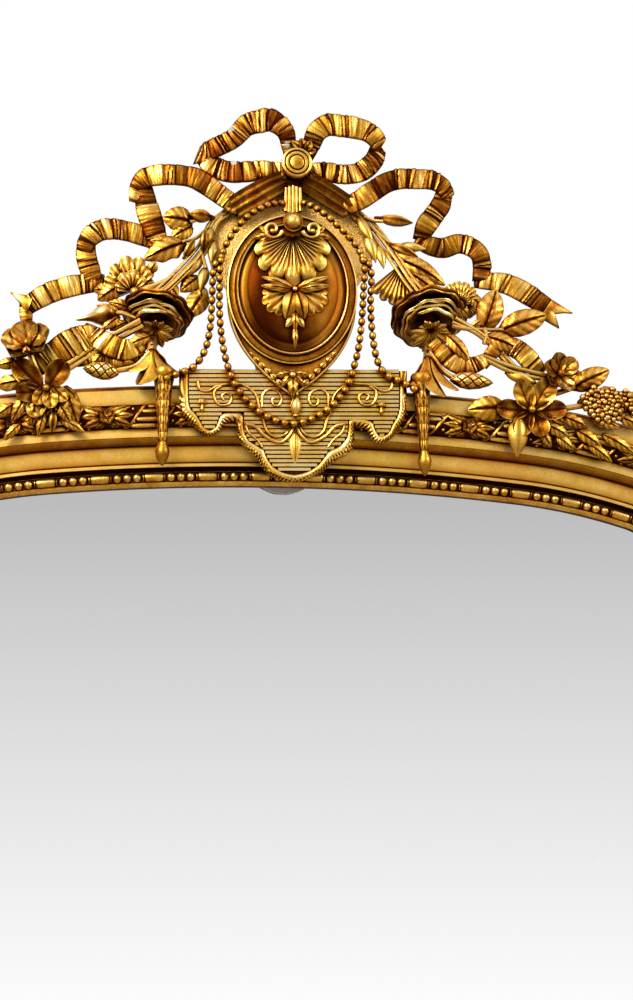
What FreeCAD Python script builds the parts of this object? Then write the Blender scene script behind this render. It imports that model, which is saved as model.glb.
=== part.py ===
import FreeCAD, Part
import math
import os

from FreeCAD import Vector

# An arched giltwood overmantel mirror: a pine carcass carries a moulded front, a carved torus and an
# inner slip; a silvered plate and backboards sit in its rebates, and a pierced carved crest stands on
# the crown. Millimetres, +Z up, front towards -Y. The origin is the middle of the base at the wall.

# Driving sizes of the frame
SIGHT_HALF_WIDTH = 545.0
SIGHT_CROWN_HEIGHT = 1319.0
CROWN_RADIUS = 3240.0
CROWN_HALF_SPAN = 324.0
HAUNCH_RADIUS = 826.0
CORNER_RADIUS = 90.0
CLEARANCE = 0.3
OVERRUN = 5.0

# Widths of the members, outwards from the sight edge
LIP_WIDTH = 5.0
SLIP_FILLET_WIDTH = 2.0
ASTRAGAL_WIDTH = 13.0
QUIRK_WIDTH = 5.5
FILLET_WIDTH = 4.5
FRIEZE_WIDTH = 25.0
COVE_WIDTH = 10.0
LOWER_FLAT_WIDTH = 13.0
TORUS_WIDTH = 31.0
UPPER_FLAT_WIDTH = 21.5
OVOLO_WIDTH = 7.0

# Heights of the members forward of the wall
CARCASS_DEPTH = 30.0
LIP_FRONT = 36.0
SLIP_FRONT = 38.0
ASTRAGAL_FRONT = 44.0
QUIRK_FRONT = 35.0
FILLET_FRONT = 49.0
FRIEZE_INNER_FRONT = 46.0
FRIEZE_OUTER_FRONT = 49.0
LOWER_FLAT_FRONT = 62.0
TORUS_SEAT_FRONT = 54.0
TORUS_FRONT = 78.0
TORUS_SHOULDER_FRONT = TORUS_FRONT - TORUS_WIDTH / 2 + CLEARANCE
UPPER_FLAT_FRONT = 64.0
OUTER_EDGE_FRONT = 52.0

SLIP_WIDTH = LIP_WIDTH + SLIP_FILLET_WIDTH + ASTRAGAL_WIDTH + QUIRK_WIDTH
TORUS_INNER = SLIP_WIDTH + FILLET_WIDTH + FRIEZE_WIDTH + COVE_WIDTH + LOWER_FLAT_WIDTH
FRAME_WIDTH = TORUS_INNER + TORUS_WIDTH + UPPER_FLAT_WIDTH + OVOLO_WIDTH
HALF_WIDTH = SIGHT_HALF_WIDTH + FRAME_WIDTH

# Carcass rebates, plate and backboards
GLASS_REBATE = 14.0
GLASS_EDGE_GAP = 2.0
GLASS_THICKNESS = 5.0
BACKBOARD_THICKNESS = 9.0
BACKBOARD_REBATE = 34.0
BACKBOARD_GAP = 1.0

# The pinhole view that the carver's squared drawing of the crest was taken from. Crest places are
# pixels of that view and a share of the crest's depth, thrown onto the plane at that depth.
PIXEL = 1.3684
FOCAL_PX = 1900.0
CENTRE_COLUMN_PX = 316.5
CENTRE_ROW_PX = 500.0
AIM_RIGHT_PX = 28.7
AIM_BELOW_PX = 14.3
VIEW_YAW_DEG = 8.0
VIEW_PITCH_DEG = 8.79
AIM_FRONT = 50.0
CREST_PROUD = 100.0

FORWARD = Vector(0, -1, 0)
UP = Vector(0, 0, 1)
CROWN = Vector(0, 0, SIGHT_CROWN_HEIGHT)


def view_axes():
    """The directions ahead, right and up of the view."""
    yaw, pitch = math.radians(VIEW_YAW_DEG), math.radians(VIEW_PITCH_DEG)
    ahead = Vector(math.sin(yaw) * math.cos(pitch), math.cos(yaw) * math.cos(pitch), math.sin(pitch))
    right = Vector(math.cos(yaw), -math.sin(yaw), 0)
    return ahead, right, right.cross(ahead)


AHEAD, RIGHT, RISE = view_axes()
AIM = CROWN + Vector(AIM_RIGHT_PX * PIXEL, -AIM_FRONT, -AIM_BELOW_PX * PIXEL)
STANDPOINT = AIM - AHEAD * (FOCAL_PX * PIXEL)


def on_plane(column, row, front):
    """The point at this distance forward of the wall that the view shows at a pixel."""
    ray = AHEAD * FOCAL_PX + RIGHT * (column - CENTRE_COLUMN_PX) + RISE * (CENTRE_ROW_PX - row)
    return STANDPOINT + ray * ((-front - STANDPOINT.y) / ray.y)


def spot(column, row, depth_share):
    """A crest place: a pixel and a share of the crest's depth."""
    return on_plane(column, row, CREST_PROUD * depth_share)


# Small modelling helpers

def polygon(points):
    """A closed wire of straight edges."""
    return Part.makePolygon(list(points) + [points[0]])


def one_solid(shape):
    """The largest solid of a shape."""
    return max(shape.Solids, key=lambda solid: solid.Volume)


def joined(shapes):
    """Carved from one block: the union of overlapping shapes."""
    return shapes[0].multiFuse(shapes[1:]).removeSplitter() if len(shapes) > 1 else shapes[0]


def seated(shape, *carriers):
    """The shape cut back to the faces of what carries it."""
    for carrier in carriers:
        if shape.BoundBox.intersect(carrier.BoundBox):
            shape = shape.cut(carrier)
    return shape


def mirrored(shape):
    """The same piece on the other side of the mirror's middle."""
    return shape.mirror(Vector(0, 0, 0), Vector(1, 0, 0))


def turned(profile, axis_base, axis, angle=360.0):
    """A solid of revolution."""
    return Part.Face(profile).revolve(axis_base, axis, angle)


# The sight line: a crown arc, two haunch arcs and two tight corners, each tangent to the next

def arch_arcs():
    """Centre and end angles, from the vertical, of the right half's arcs."""
    crown_end = math.asin(CROWN_HALF_SPAN / CROWN_RADIUS)
    crown_centre = CROWN - UP * CROWN_RADIUS

    def radial(angle):
        return Vector(math.sin(angle), 0, math.cos(angle))

    haunch_start = crown_centre + radial(crown_end) * CROWN_RADIUS
    haunch_centre = haunch_start - radial(crown_end) * HAUNCH_RADIUS
    corner_reach = SIGHT_HALF_WIDTH - CORNER_RADIUS - haunch_centre.x
    haunch_end = math.asin(corner_reach / (HAUNCH_RADIUS - CORNER_RADIUS))
    corner_centre = haunch_centre + radial(haunch_end) * (HAUNCH_RADIUS - CORNER_RADIUS)
    return [
        (crown_centre, -crown_end, crown_end),
        (haunch_centre, crown_end, haunch_end),
        (corner_centre, haunch_end, math.pi / 2),
    ]


ARCS = arch_arcs()
SPRING_HEIGHT = ARCS[2][0].z
ARC_RADII = (CROWN_RADIUS, HAUNCH_RADIUS, CORNER_RADIUS)


def arc_run(section, index):
    """The section, drawn at the crown as (outwards, forward) points, run round one arc."""
    centre, start, end = ARCS[index]
    lift = Vector(centre.x, 0, centre.z + ARC_RADII[index])
    face = Part.Face(section(lift, UP))
    face.rotate(centre, Vector(0, 1, 0), math.degrees(start))
    return face.revolve(centre, Vector(0, 1, 0), math.degrees(end - start))


def straight_run(section, start, outwards, way, length):
    """The section run along a straight member."""
    return Part.Face(section(start, outwards)).extrude(way * length)


def section_of(corners):
    """A section as a function of where the sight line is and which way is outwards.

    A corner of four numbers is an arc: its middle point, then its end."""
    def wire(base, outwards):
        def at(out, front):
            return base + outwards * out + FORWARD * front

        edges = []
        last = at(*corners[-1][-2:])
        for corner in corners:
            here = at(*corner[-2:])
            if len(corner) == 4:
                edges.append(Part.Arc(last, at(*corner[:2]), here).toShape())
            else:
                edges.append(Part.LineSegment(last, here).toShape())
            last = here
        return Part.Wire(edges)
    return wire


def slip_section():
    """Inner slip: a thin lip, a fillet, the astragal that the beads are cut in, and a quirk."""
    fillet = LIP_WIDTH + SLIP_FILLET_WIDTH
    astragal = fillet + ASTRAGAL_WIDTH
    return section_of([
        (0, CARCASS_DEPTH),
        (0, LIP_FRONT),
        (LIP_WIDTH, SLIP_FRONT),
        (fillet, SLIP_FRONT),
        (fillet + ASTRAGAL_WIDTH / 2, ASTRAGAL_FRONT, astragal, SLIP_FRONT),
        (astragal, QUIRK_FRONT),
        (SLIP_WIDTH, QUIRK_FRONT),
        (SLIP_WIDTH, CARCASS_DEPTH),
    ])


def moulding_section():
    """Front moulding: fillet, sloping frieze, cove, flat, torus channel, upper flat and outer ovolo."""
    fillet = SLIP_WIDTH + FILLET_WIDTH
    frieze = fillet + FRIEZE_WIDTH
    cove = frieze + COVE_WIDTH
    torus_outer = TORUS_INNER + TORUS_WIDTH
    upper = torus_outer + UPPER_FLAT_WIDTH
    cove_bulge_share = 0.32
    cove_middle = (
        frieze + COVE_WIDTH * cove_bulge_share,
        LOWER_FLAT_FRONT - (LOWER_FLAT_FRONT - FRIEZE_OUTER_FRONT) * cove_bulge_share,
    )
    ovolo_bulge_share = 0.71
    ovolo_middle = (
        upper + OVOLO_WIDTH * ovolo_bulge_share,
        OUTER_EDGE_FRONT + (UPPER_FLAT_FRONT - OUTER_EDGE_FRONT) * ovolo_bulge_share,
    )
    return section_of([
        (SLIP_WIDTH, CARCASS_DEPTH),
        (SLIP_WIDTH, FILLET_FRONT),
        (fillet, FILLET_FRONT),
        (fillet, FRIEZE_INNER_FRONT),
        (frieze, FRIEZE_OUTER_FRONT),
        cove_middle + (cove, LOWER_FLAT_FRONT),
        (TORUS_INNER, LOWER_FLAT_FRONT),
        (TORUS_INNER, TORUS_SEAT_FRONT),
        (torus_outer, TORUS_SEAT_FRONT),
        (torus_outer, UPPER_FLAT_FRONT),
        (upper, UPPER_FLAT_FRONT),
        ovolo_middle + (FRAME_WIDTH, OUTER_EDGE_FRONT),
        (FRAME_WIDTH, CARCASS_DEPTH),
    ])


def torus_section():
    """Carved torus: a half round on a flat seat in the moulding's channel."""
    inner, outer = TORUS_INNER + CLEARANCE, TORUS_INNER + TORUS_WIDTH - CLEARANCE
    return section_of([
        (inner, TORUS_SEAT_FRONT),
        (inner, TORUS_SHOULDER_FRONT),
        (TORUS_INNER + TORUS_WIDTH / 2, TORUS_FRONT, outer, TORUS_SHOULDER_FRONT),
        (outer, TORUS_SEAT_FRONT),
    ])


def carcass_section():
    """Carcass: a square pine bar, rebated for the plate in front and for the backboards behind."""
    return section_of([
        (BACKBOARD_REBATE, 0),
        (BACKBOARD_REBATE, BACKBOARD_THICKNESS),
        (GLASS_REBATE, BACKBOARD_THICKNESS),
        (GLASS_REBATE, CARCASS_DEPTH),
        (FRAME_WIDTH, CARCASS_DEPTH),
        (FRAME_WIDTH, 0),
    ])


def stile(section):
    """The section down the right side, from the spring of the arch to the base."""
    start = Vector(SIGHT_HALF_WIDTH, 0, SPRING_HEIGHT)
    return straight_run(section, start, Vector(1, 0, 0), UP * -1, SPRING_HEIGHT)


def base_run(section):
    """The section along the base, between the outer faces of the stiles."""
    start = Vector(-HALF_WIDTH, 0, FRAME_WIDTH)
    return straight_run(section, start, UP * -1, Vector(1, 0, 0), 2 * HALF_WIDTH)


def base_trapezium():
    """The space between the two bottom mitres."""
    corners = [
        Vector(-HALF_WIDTH - OVERRUN, 0, -OVERRUN),
        Vector(HALF_WIDTH + OVERRUN, 0, -OVERRUN),
        Vector(0, 0, HALF_WIDTH),
    ]
    return Part.Face(polygon(corners)).extrude(FORWARD * (TORUS_FRONT + OVERRUN))


def framed(section, mitred):
    """One layer of the frame as its six runs."""
    crown = arc_run(section, 0)
    haunch = arc_run(section, 1).fuse(arc_run(section, 2)).removeSplitter()
    side = stile(section)
    base = base_run(section)
    if mitred:
        base, side = base.common(base_trapezium()), side.cut(base_trapezium())
    return crown, one_solid(haunch), one_solid(side), one_solid(base)


nodes = {}
moulding_crown, moulding_haunch, moulding_stile, moulding_base = framed(moulding_section(), True)
nodes["moulding_crown"] = moulding_crown
nodes["moulding_haunch_right"] = moulding_haunch
nodes["moulding_haunch_left"] = mirrored(moulding_haunch)
nodes["moulding_stile_right"] = moulding_stile
nodes["moulding_stile_left"] = mirrored(moulding_stile)
nodes["moulding_base"] = moulding_base


def arched_strip(section):
    """A thin strip that is carved in one length over the whole arch."""
    crown, haunch, side, base = framed(section, True)
    top = one_solid(joined([crown, haunch, mirrored(haunch)]))
    return top, side, base


torus_top, torus_stile, torus_base = arched_strip(torus_section())
nodes["torus_top"] = torus_top
nodes["torus_right"] = torus_stile
nodes["torus_left"] = mirrored(torus_stile)
nodes["torus_base"] = torus_base

slip_top, slip_stile, slip_base = arched_strip(slip_section())
nodes["slip_top"] = slip_top
nodes["slip_right"] = slip_stile
nodes["slip_left"] = mirrored(slip_stile)
nodes["slip_base"] = slip_base

# Carcass: stiles to the base, a rail between them, and dowelled butt joints round the arch
carcass_crown, carcass_haunch, carcass_stile, carcass_base = framed(carcass_section(), False)
carcass_base = one_solid(carcass_base.cut(carcass_stile).cut(mirrored(carcass_stile)))

DOWEL_DIAMETER = 10.0
DOWEL_LENGTH = 60.0
DOWEL_SPREAD = 50.0
DOWEL_MIDDLE = (BACKBOARD_REBATE + FRAME_WIDTH) / 2
DOWEL_FRONT = (CARCASS_DEPTH + BACKBOARD_THICKNESS) / 2


def dowel(middle, way, grown=0.0):
    """A round dowel, or its hole, through a joint."""
    length = DOWEL_LENGTH + 2 * grown
    return Part.makeCylinder(DOWEL_DIAMETER / 2 + grown, length, middle - way * (length / 2), way)


def dowel_places():
    """Middle and direction of the right half's dowels, two in each joint."""
    places = []
    for offset in (-DOWEL_SPREAD / 2, DOWEL_SPREAD / 2):
        out = DOWEL_MIDDLE + offset
        centre, start, _ = ARCS[1]
        radial = Vector(math.sin(start), 0, math.cos(start))
        along = Vector(math.cos(start), 0, -math.sin(start))
        places.append((centre + radial * (HAUNCH_RADIUS + out) + FORWARD * DOWEL_FRONT, along))
        places.append((Vector(SIGHT_HALF_WIDTH + out, -DOWEL_FRONT, SPRING_HEIGHT), UP))
        shoulder = SIGHT_HALF_WIDTH + GLASS_REBATE
        places.append((Vector(shoulder, -DOWEL_FRONT, FRAME_WIDTH - out), Vector(1, 0, 0)))
    return places


dowels = [dowel(*place) for place in dowel_places()]
dowel_holes = [dowel(*place, CLEARANCE) for place in dowel_places()]
right_holes = Part.makeCompound(dowel_holes)
all_holes = Part.makeCompound(dowel_holes + [mirrored(hole) for hole in dowel_holes])
carcass_crown = one_solid(carcass_crown.cut(all_holes))
carcass_haunch = one_solid(carcass_haunch.cut(right_holes))
carcass_stile = one_solid(carcass_stile.cut(right_holes))
carcass_base = one_solid(carcass_base.cut(all_holes))
nodes["carcass_dowels"] = Part.makeCompound(dowels + [mirrored(pin) for pin in dowels])


# Mirror plate, glue blocks and backboards

def arched_face(out, front):
    """The field inside the frame, this far out from the sight line, on a plane forward of the wall."""
    def at(index, angle):
        centre, radius = ARCS[index][0], ARC_RADII[index] + out
        return centre + Vector(math.sin(angle), 0, math.cos(angle)) * radius + FORWARD * front

    right = []
    for index, (_, start, end) in enumerate(ARCS):
        first = 0 if index == 0 else start
        points = at(index, first), at(index, (first + end) / 2), at(index, end)
        right.append(Part.Arc(*points).toShape())
    side, foot = SIGHT_HALF_WIDTH + out, FRAME_WIDTH - out
    spring = Vector(side, -front, SPRING_HEIGHT)
    right.append(Part.LineSegment(spring, Vector(side, -front, foot)).toShape())
    right.append(Part.LineSegment(Vector(side, -front, foot), Vector(0, -front, foot)).toShape())
    left = [mirrored(edge) for edge in right]
    return Part.Face(Part.Wire(Part.__sortEdges__(right + left)))


GLASS_FRONT = CARCASS_DEPTH - CLEARANCE
GLASS_BACK = GLASS_FRONT - GLASS_THICKNESS
glass_face = arched_face(GLASS_REBATE - GLASS_EDGE_GAP, GLASS_BACK)
nodes["mirror_glass"] = glass_face.extrude(FORWARD * GLASS_THICKNESS)

BLOCK_LENGTH = 45.0
BLOCK_WIDTH = 11.0
BLOCK_STILE_HEIGHT_SHARES = (0.25, 0.55, 0.85)
BLOCK_ROW_SHARES = (-0.6, 0.0, 0.6)


def glue_block(middle, along_x):
    """A small block that holds the plate forward, lying along the frame member at its middle."""
    size_x, size_z = (BLOCK_LENGTH, BLOCK_WIDTH) if along_x else (BLOCK_WIDTH, BLOCK_LENGTH)
    corner = middle - Vector(size_x / 2, 0, size_z / 2) + FORWARD * GLASS_BACK
    return Part.makeBox(size_x, GLASS_BACK - BACKBOARD_THICKNESS - CLEARANCE, size_z, corner)


def glue_blocks():
    """Blocks up both stiles, along the base and under the crown."""
    blocks = []
    side = SIGHT_HALF_WIDTH + GLASS_REBATE - BLOCK_WIDTH / 2
    for share in BLOCK_STILE_HEIGHT_SHARES:
        for way in (-side, side):
            blocks.append(glue_block(Vector(way, 0, SPRING_HEIGHT * share), False))
    foot = FRAME_WIDTH - GLASS_REBATE + BLOCK_WIDTH / 2
    for share in BLOCK_ROW_SHARES:
        blocks.append(glue_block(Vector(SIGHT_HALF_WIDTH * share, 0, foot), True))
        reach = CROWN_HALF_SPAN * share
        drop = CROWN_RADIUS - math.sqrt(CROWN_RADIUS ** 2 - reach ** 2)
        under = CROWN + Vector(reach, 0, GLASS_REBATE - drop - BLOCK_WIDTH / 2)
        blocks.append(one_solid(glue_block(under, True).cut(carcass_crown)))
    return blocks


nodes["glass_blocks"] = Part.makeCompound(glue_blocks())

back_face = arched_face(BACKBOARD_REBATE - BACKBOARD_GAP, 0)
back_panel = back_face.extrude(FORWARD * BACKBOARD_THICKNESS)
PLANK_PITCH = 2 * (SIGHT_HALF_WIDTH + BACKBOARD_REBATE) / 3


def plank(index):
    """One of three upright boards."""
    left = -1.5 * PLANK_PITCH + index * PLANK_PITCH + BACKBOARD_GAP / 2
    height = SIGHT_CROWN_HEIGHT + FRAME_WIDTH
    strip = Part.makeBox(
        PLANK_PITCH - BACKBOARD_GAP, CARCASS_DEPTH, height, Vector(left, -CARCASS_DEPTH, 0))
    return one_solid(back_panel.common(strip))


planks = [plank(index) for index in range(3)]

# Countersunk wood screws, one shape used throughout
SCREW_LENGTH = 20.0
SCREW_DIAMETER = 4.0
SCREW_HEAD_DIAMETER = 8.0
SCREW_HEAD_HEIGHT = 2.5
SCREW_SLOT_WIDTH = 1.0
SCREW_SLOT_DEPTH = 0.8


def screw(head, way, grown=0.0):
    """A screw driven along way with its flat head at the surface, or its clearance hole."""
    across = way.cross(UP) if abs(way.z) < math.sqrt(2) / 2 else Vector(1, 0, 0)
    profile = [
        (0, 0), (SCREW_HEAD_DIAMETER / 2 + grown, 0),
        (SCREW_DIAMETER / 2 + grown, SCREW_HEAD_HEIGHT),
        (SCREW_DIAMETER / 2 + grown, SCREW_LENGTH + grown), (0, SCREW_LENGTH + grown),
    ]
    wire = polygon([head + across * out + way * deep for out, deep in profile])
    body = turned(wire, head, way)
    if grown:
        return body
    slot = Part.makeBox(SCREW_HEAD_DIAMETER, SCREW_SLOT_WIDTH, SCREW_SLOT_DEPTH)
    slot.translate(Vector(-SCREW_HEAD_DIAMETER / 2, -SCREW_SLOT_WIDTH / 2, 0))
    slot.Placement = FreeCAD.Placement(head, FreeCAD.Rotation(UP, way)).multiply(slot.Placement)
    return body.cut(slot)


BOARD_SCREW_OUT = (GLASS_REBATE + BACKBOARD_REBATE) / 2
BOARD_SCREW_ROW_SHARES = (-0.8, -0.45, -0.15, 0.15, 0.45, 0.8)


def board_screw_heads():
    """Screws through the planks into the carcass ledge, at the foot and under the arch."""
    heads = []
    for share in BOARD_SCREW_ROW_SHARES:
        reach = SIGHT_HALF_WIDTH * share
        heads.append(Vector(reach, 0, FRAME_WIDTH - BOARD_SCREW_OUT))
        index = 0 if abs(reach) < CROWN_HALF_SPAN else 1
        centre, radius = ARCS[index][0], ARC_RADII[index] + BOARD_SCREW_OUT
        off = abs(reach) - centre.x
        heads.append(Vector(reach, 0, centre.z + math.sqrt(radius ** 2 - off ** 2)))
    return heads


board_heads = board_screw_heads()
board_holes = Part.makeCompound([screw(head, FORWARD, CLEARANCE / 2) for head in board_heads])
planks = [one_solid(board.cut(board_holes)) for board in planks]
carcass_crown = one_solid(carcass_crown.cut(board_holes))
carcass_haunch = one_solid(carcass_haunch.cut(board_holes))
carcass_base = one_solid(carcass_base.cut(board_holes))
for name, board in zip(("left", "middle", "right"), planks):
    nodes["backboard_" + name] = board
nodes["backboard_screws"] = Part.makeCompound([screw(head, FORWARD) for head in board_heads])

# Strap hangers: a plate on each stile's back, rolled round the bar of a D ring that hangs free
HANGER_BELOW_SPRING = 175.2
HANGER_HEIGHT = SPRING_HEIGHT - HANGER_BELOW_SPRING
STRAP_WIDTH = 24.0
STRAP_HEIGHT = 60.0
STRAP_THICKNESS = 2.0
KNUCKLE_LENGTH = 16.0
RING_BAR_RADIUS = 2.2
RING_WIRE_RADIUS = 2.0
RING_RUNNING_FIT = 0.06
RING_RADIUS = 17.0
KNUCKLE_RADIUS = RING_BAR_RADIUS + RING_RUNNING_FIT + STRAP_THICKNESS
HANGER_OUT = SIGHT_HALF_WIDTH + (BACKBOARD_REBATE + FRAME_WIDTH) / 2
STRAP_SCREW_HEIGHT_SHARES = (0.4, 0.8)
X_WAY = Vector(1, 0, 0)
BACK_WAY = Vector(0, 1, 0)


def hanger_strap():
    """The right strap: plate and knuckle from one bent strip, bored for the ring's bar."""
    pivot = Vector(HANGER_OUT, KNUCKLE_RADIUS, HANGER_HEIGHT)
    corner = Vector(HANGER_OUT - STRAP_WIDTH / 2, 0, HANGER_HEIGHT)
    plate = Part.makeBox(STRAP_WIDTH, STRAP_THICKNESS, STRAP_HEIGHT, corner)
    roll_start = pivot - X_WAY * (KNUCKLE_LENGTH / 2)
    roll = Part.makeCylinder(KNUCKLE_RADIUS, KNUCKLE_LENGTH, roll_start, X_WAY)
    bore_start = pivot - X_WAY * STRAP_WIDTH
    bore = Part.makeCylinder(RING_BAR_RADIUS + RING_RUNNING_FIT, 2 * STRAP_WIDTH, bore_start, X_WAY)
    return one_solid(plate.fuse(roll).cut(bore))


def hanger_ring():
    """The right D ring: a straight bar closed by half a round of wire below."""
    pivot = Vector(HANGER_OUT, KNUCKLE_RADIUS, HANGER_HEIGHT)
    half_bar = RING_RADIUS + RING_WIRE_RADIUS
    bar = Part.makeCylinder(RING_BAR_RADIUS, 2 * half_bar, pivot - X_WAY * half_bar, X_WAY)
    wire = Part.Wire(Part.makeCircle(RING_WIRE_RADIUS, pivot + X_WAY * RING_RADIUS, UP))
    return one_solid(bar.fuse(turned(wire, pivot, BACK_WAY, 180.0)))


strap = hanger_strap()
strap_heads = [
    Vector(HANGER_OUT, STRAP_THICKNESS, HANGER_HEIGHT + STRAP_HEIGHT * share)
    for share in STRAP_SCREW_HEIGHT_SHARES
]
strap_holes = Part.makeCompound([screw(head, FORWARD, CLEARANCE / 2) for head in strap_heads])
strap_screws = [screw(head, FORWARD) for head in strap_heads]
strap = one_solid(strap.cut(strap_holes))
carcass_stile = one_solid(carcass_stile.cut(strap_holes))
nodes["hanger_strap_right"] = strap
nodes["hanger_strap_left"] = mirrored(strap)
nodes["hanger_ring_right"] = hanger_ring()
nodes["hanger_ring_left"] = mirrored(hanger_ring())
nodes["hanger_screws"] = Part.makeCompound(strap_screws + [mirrored(pin) for pin in strap_screws])

# Crest: shaping helpers for the carved pieces

RIBBON_WIDTH = 28.0
RIBBON_THICKNESS = 6.0
RIBBON_BULGE = 2.5
LEAF_WIDTH = 20.0
LEAF_THICKNESS = 6.0
LEAF_RIDGE = 2.5
STEM_RADIUS = 5.0
LEAF_STATION_SHARES = (0.12, 0.42, 0.75)
LEAF_WIDTH_SHARES = (0.55, 1.0, 0.62)
LEAF_ARCH_SHARES = (0.06, 0.12, 0.08)
PETAL_WIDTH_SHARES = (0.55, 1.0, 0.95)


def ways_along(points):
    """The direction of a path at each of its points."""
    last = len(points) - 1
    ways = []
    for index in range(len(points)):
        way = points[min(index + 1, last)] - points[max(index - 1, 0)]
        ways.append(way.normalize())
    return ways


def band(rows):
    """A flat ribbon, slightly round in front, through rows of column, row, depth and width share."""
    points = [spot(*row[:3]) for row in rows]
    wires = []
    for point, way, row in zip(points, ways_along(points), rows):
        side = way.cross(FORWARD).normalize()
        face = side.cross(way).normalize()
        half = side * (RIBBON_WIDTH * row[3] / 2)
        back = face * (-RIBBON_THICKNESS / 2)
        left, right = point - half - back, point + half - back
        front = Part.Arc(left, point - back + face * RIBBON_BULGE, right).toShape()
        corners = [right, point + half + back, point - half + back, left]
        edges = [Part.LineSegment(a, b).toShape() for a, b in zip(corners, corners[1:])]
        wires.append(Part.Wire([front] + edges))
    return Part.makeLoft(wires, True, False)


def faceted(rings, start, end):
    """A solid cut in flat facets through rings of corners, from one point to another."""
    facets = []
    count = len(rings[0])
    for index in range(count):
        after = (index + 1) % count
        facets.append((start, rings[0][index], rings[0][after]))
        facets.append((end, rings[-1][after], rings[-1][index]))
        for near, far in zip(rings, rings[1:]):
            facets.append((near[index], far[index], near[after]))
            facets.append((near[after], far[index], far[after]))
    solid = Part.makeSolid(Part.makeShell([Part.Face(polygon(facet)) for facet in facets]))
    if solid.Volume < 0:
        solid.reverse()
    return solid


def leaf(base, tip, width, facing=FORWARD, width_shares=LEAF_WIDTH_SHARES):
    """A pointed leaf, ridged along its middle and arched towards the way it faces."""
    length = (tip - base).Length
    way = (tip - base) * (1 / length)
    side = way.cross(facing).normalize()
    face = side.cross(way).normalize()
    rings = []
    for station, share, arch in zip(LEAF_STATION_SHARES, width_shares, LEAF_ARCH_SHARES):
        middle = base + way * (length * station) + face * (length * arch)
        half = side * (width * share / 2)
        rings.append([
            middle - half, middle + face * LEAF_RIDGE,
            middle + half, middle - face * (LEAF_THICKNESS * share),
        ])
    return faceted(rings, base, tip)


def leaves(rows):
    """Leaves from rows of base column, row, depth; tip column, row, depth; and width share."""
    return [leaf(spot(*row[:3]), spot(*row[3:6]), LEAF_WIDTH * row[6]) for row in rows]


def stem(rows, radius=STEM_RADIUS):
    """A round stalk through rows of column, row and depth share."""
    points = [spot(*row) for row in rows]
    ways = ways_along(points)
    rings = [Part.Wire(Part.makeCircle(radius, point, way)) for point, way in zip(points, ways)]
    return Part.makeLoft(rings, True, False)


def ball(middle, radius):
    """A bead or a flower's heart."""
    return Part.makeSphere(radius, middle)


PETAL_BASE_SHARE = 0.12
PETAL_WIDTH_SHARE = 1.05
PETAL_LIFT_SHARE = 0.22
HEART_SHARE = 0.3


def blossom(middle, radius, facing, petals, first_turn_share=0.0):
    """An open flower: petals round a heart, facing a way."""
    facing = Vector(facing).normalize()
    across = facing.cross(UP).normalize()
    above = across.cross(facing).normalize()
    shapes = [ball(middle, radius * HEART_SHARE)]
    for index in range(petals):
        turn = 2 * math.pi * (index + first_turn_share) / petals
        out = across * math.sin(turn) + above * math.cos(turn)
        base = middle + out * (radius * PETAL_BASE_SHARE) - facing * (radius * PETAL_BASE_SHARE)
        tip = middle + out * radius + facing * (radius * PETAL_LIFT_SHARE)
        width = radius * PETAL_WIDTH_SHARE * 5 / petals
        shapes.append(leaf(base, tip, width, facing, PETAL_WIDTH_SHARES))
    return shapes


def spindle(start, end, radius, profile_shares):
    """A turned piece along an axis: rows of length share and radius share."""
    length = (end - start).Length
    way = (end - start) * (1 / length)
    side = way.cross(FORWARD).normalize()
    rim = [start + way * (length * along) + side * (radius * out) for along, out in profile_shares]
    return turned(polygon([start] + rim + [end]), start, way)


def ellipse(middle, half_width, half_height):
    """An upright ellipse facing forward."""
    curve = Part.Ellipse(middle + UP * half_height, middle + Vector(half_width, 0, 0), middle)
    return Part.Wire(curve.toShape())


def slab(outline, back, front):
    """A board with a drawn outline of pixels, sawn square, between two distances from the wall."""
    face = Part.Face(polygon([on_plane(column, row, back) for column, row in outline]))
    return face.extrude(FORWARD * (front - back))


# Crest board on the carcass's top edge, and the battens that hold it from behind
BATTEN_THICKNESS = 12.0
BATTEN_WIDTH = 34.0
BATTEN_OFFSET = 38.0
BATTEN_LAP = 85.0
BATTEN_RISE = 190.0
CREST_BOARD_PX = [
    (293, 160), (318, 172), (345, 196), (368, 215), (380, 245), (372, 272), (352, 292), (348, 330),
    (338, 352), (345, 376), (396, 380), (398, 410), (184, 410), (188, 380), (242, 376), (246, 352),
    (236, 330), (232, 292), (212, 272), (205, 245), (214, 215), (240, 196), (268, 172),
]
crest_board = one_solid(slab(CREST_BOARD_PX, BATTEN_THICKNESS, CARCASS_DEPTH).cut(carcass_crown))
OUTER_CROWN_HEIGHT = SIGHT_CROWN_HEIGHT + FRAME_WIDTH
batten_foot = Vector(BATTEN_OFFSET - BATTEN_WIDTH / 2, -BATTEN_THICKNESS, OUTER_CROWN_HEIGHT - BATTEN_LAP)
batten = Part.makeBox(BATTEN_WIDTH, BATTEN_THICKNESS, BATTEN_LAP + BATTEN_RISE, batten_foot)
carcass_crown = one_solid(carcass_crown.cut(batten).cut(mirrored(batten)))
BATTEN_SCREW_SHARES = (0.1, 0.22, 0.5, 0.9)
batten_heads = [
    Vector(BATTEN_OFFSET, 0, batten_foot.z + (BATTEN_LAP + BATTEN_RISE) * share)
    for share in BATTEN_SCREW_SHARES
]
batten_holes = Part.makeCompound([screw(head, FORWARD, CLEARANCE / 2) for head in batten_heads])
batten_holes = Part.makeCompound([batten_holes, mirrored(batten_holes)])
batten_screws = [screw(head, FORWARD) for head in batten_heads]
batten = one_solid(batten.cut(batten_holes))
crest_board = one_solid(crest_board.cut(batten_holes))
carcass_crown = one_solid(carcass_crown.cut(batten_holes))
nodes["crest_board"] = crest_board
nodes["crest_batten_right"] = batten
nodes["crest_batten_left"] = mirrored(batten)
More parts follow.
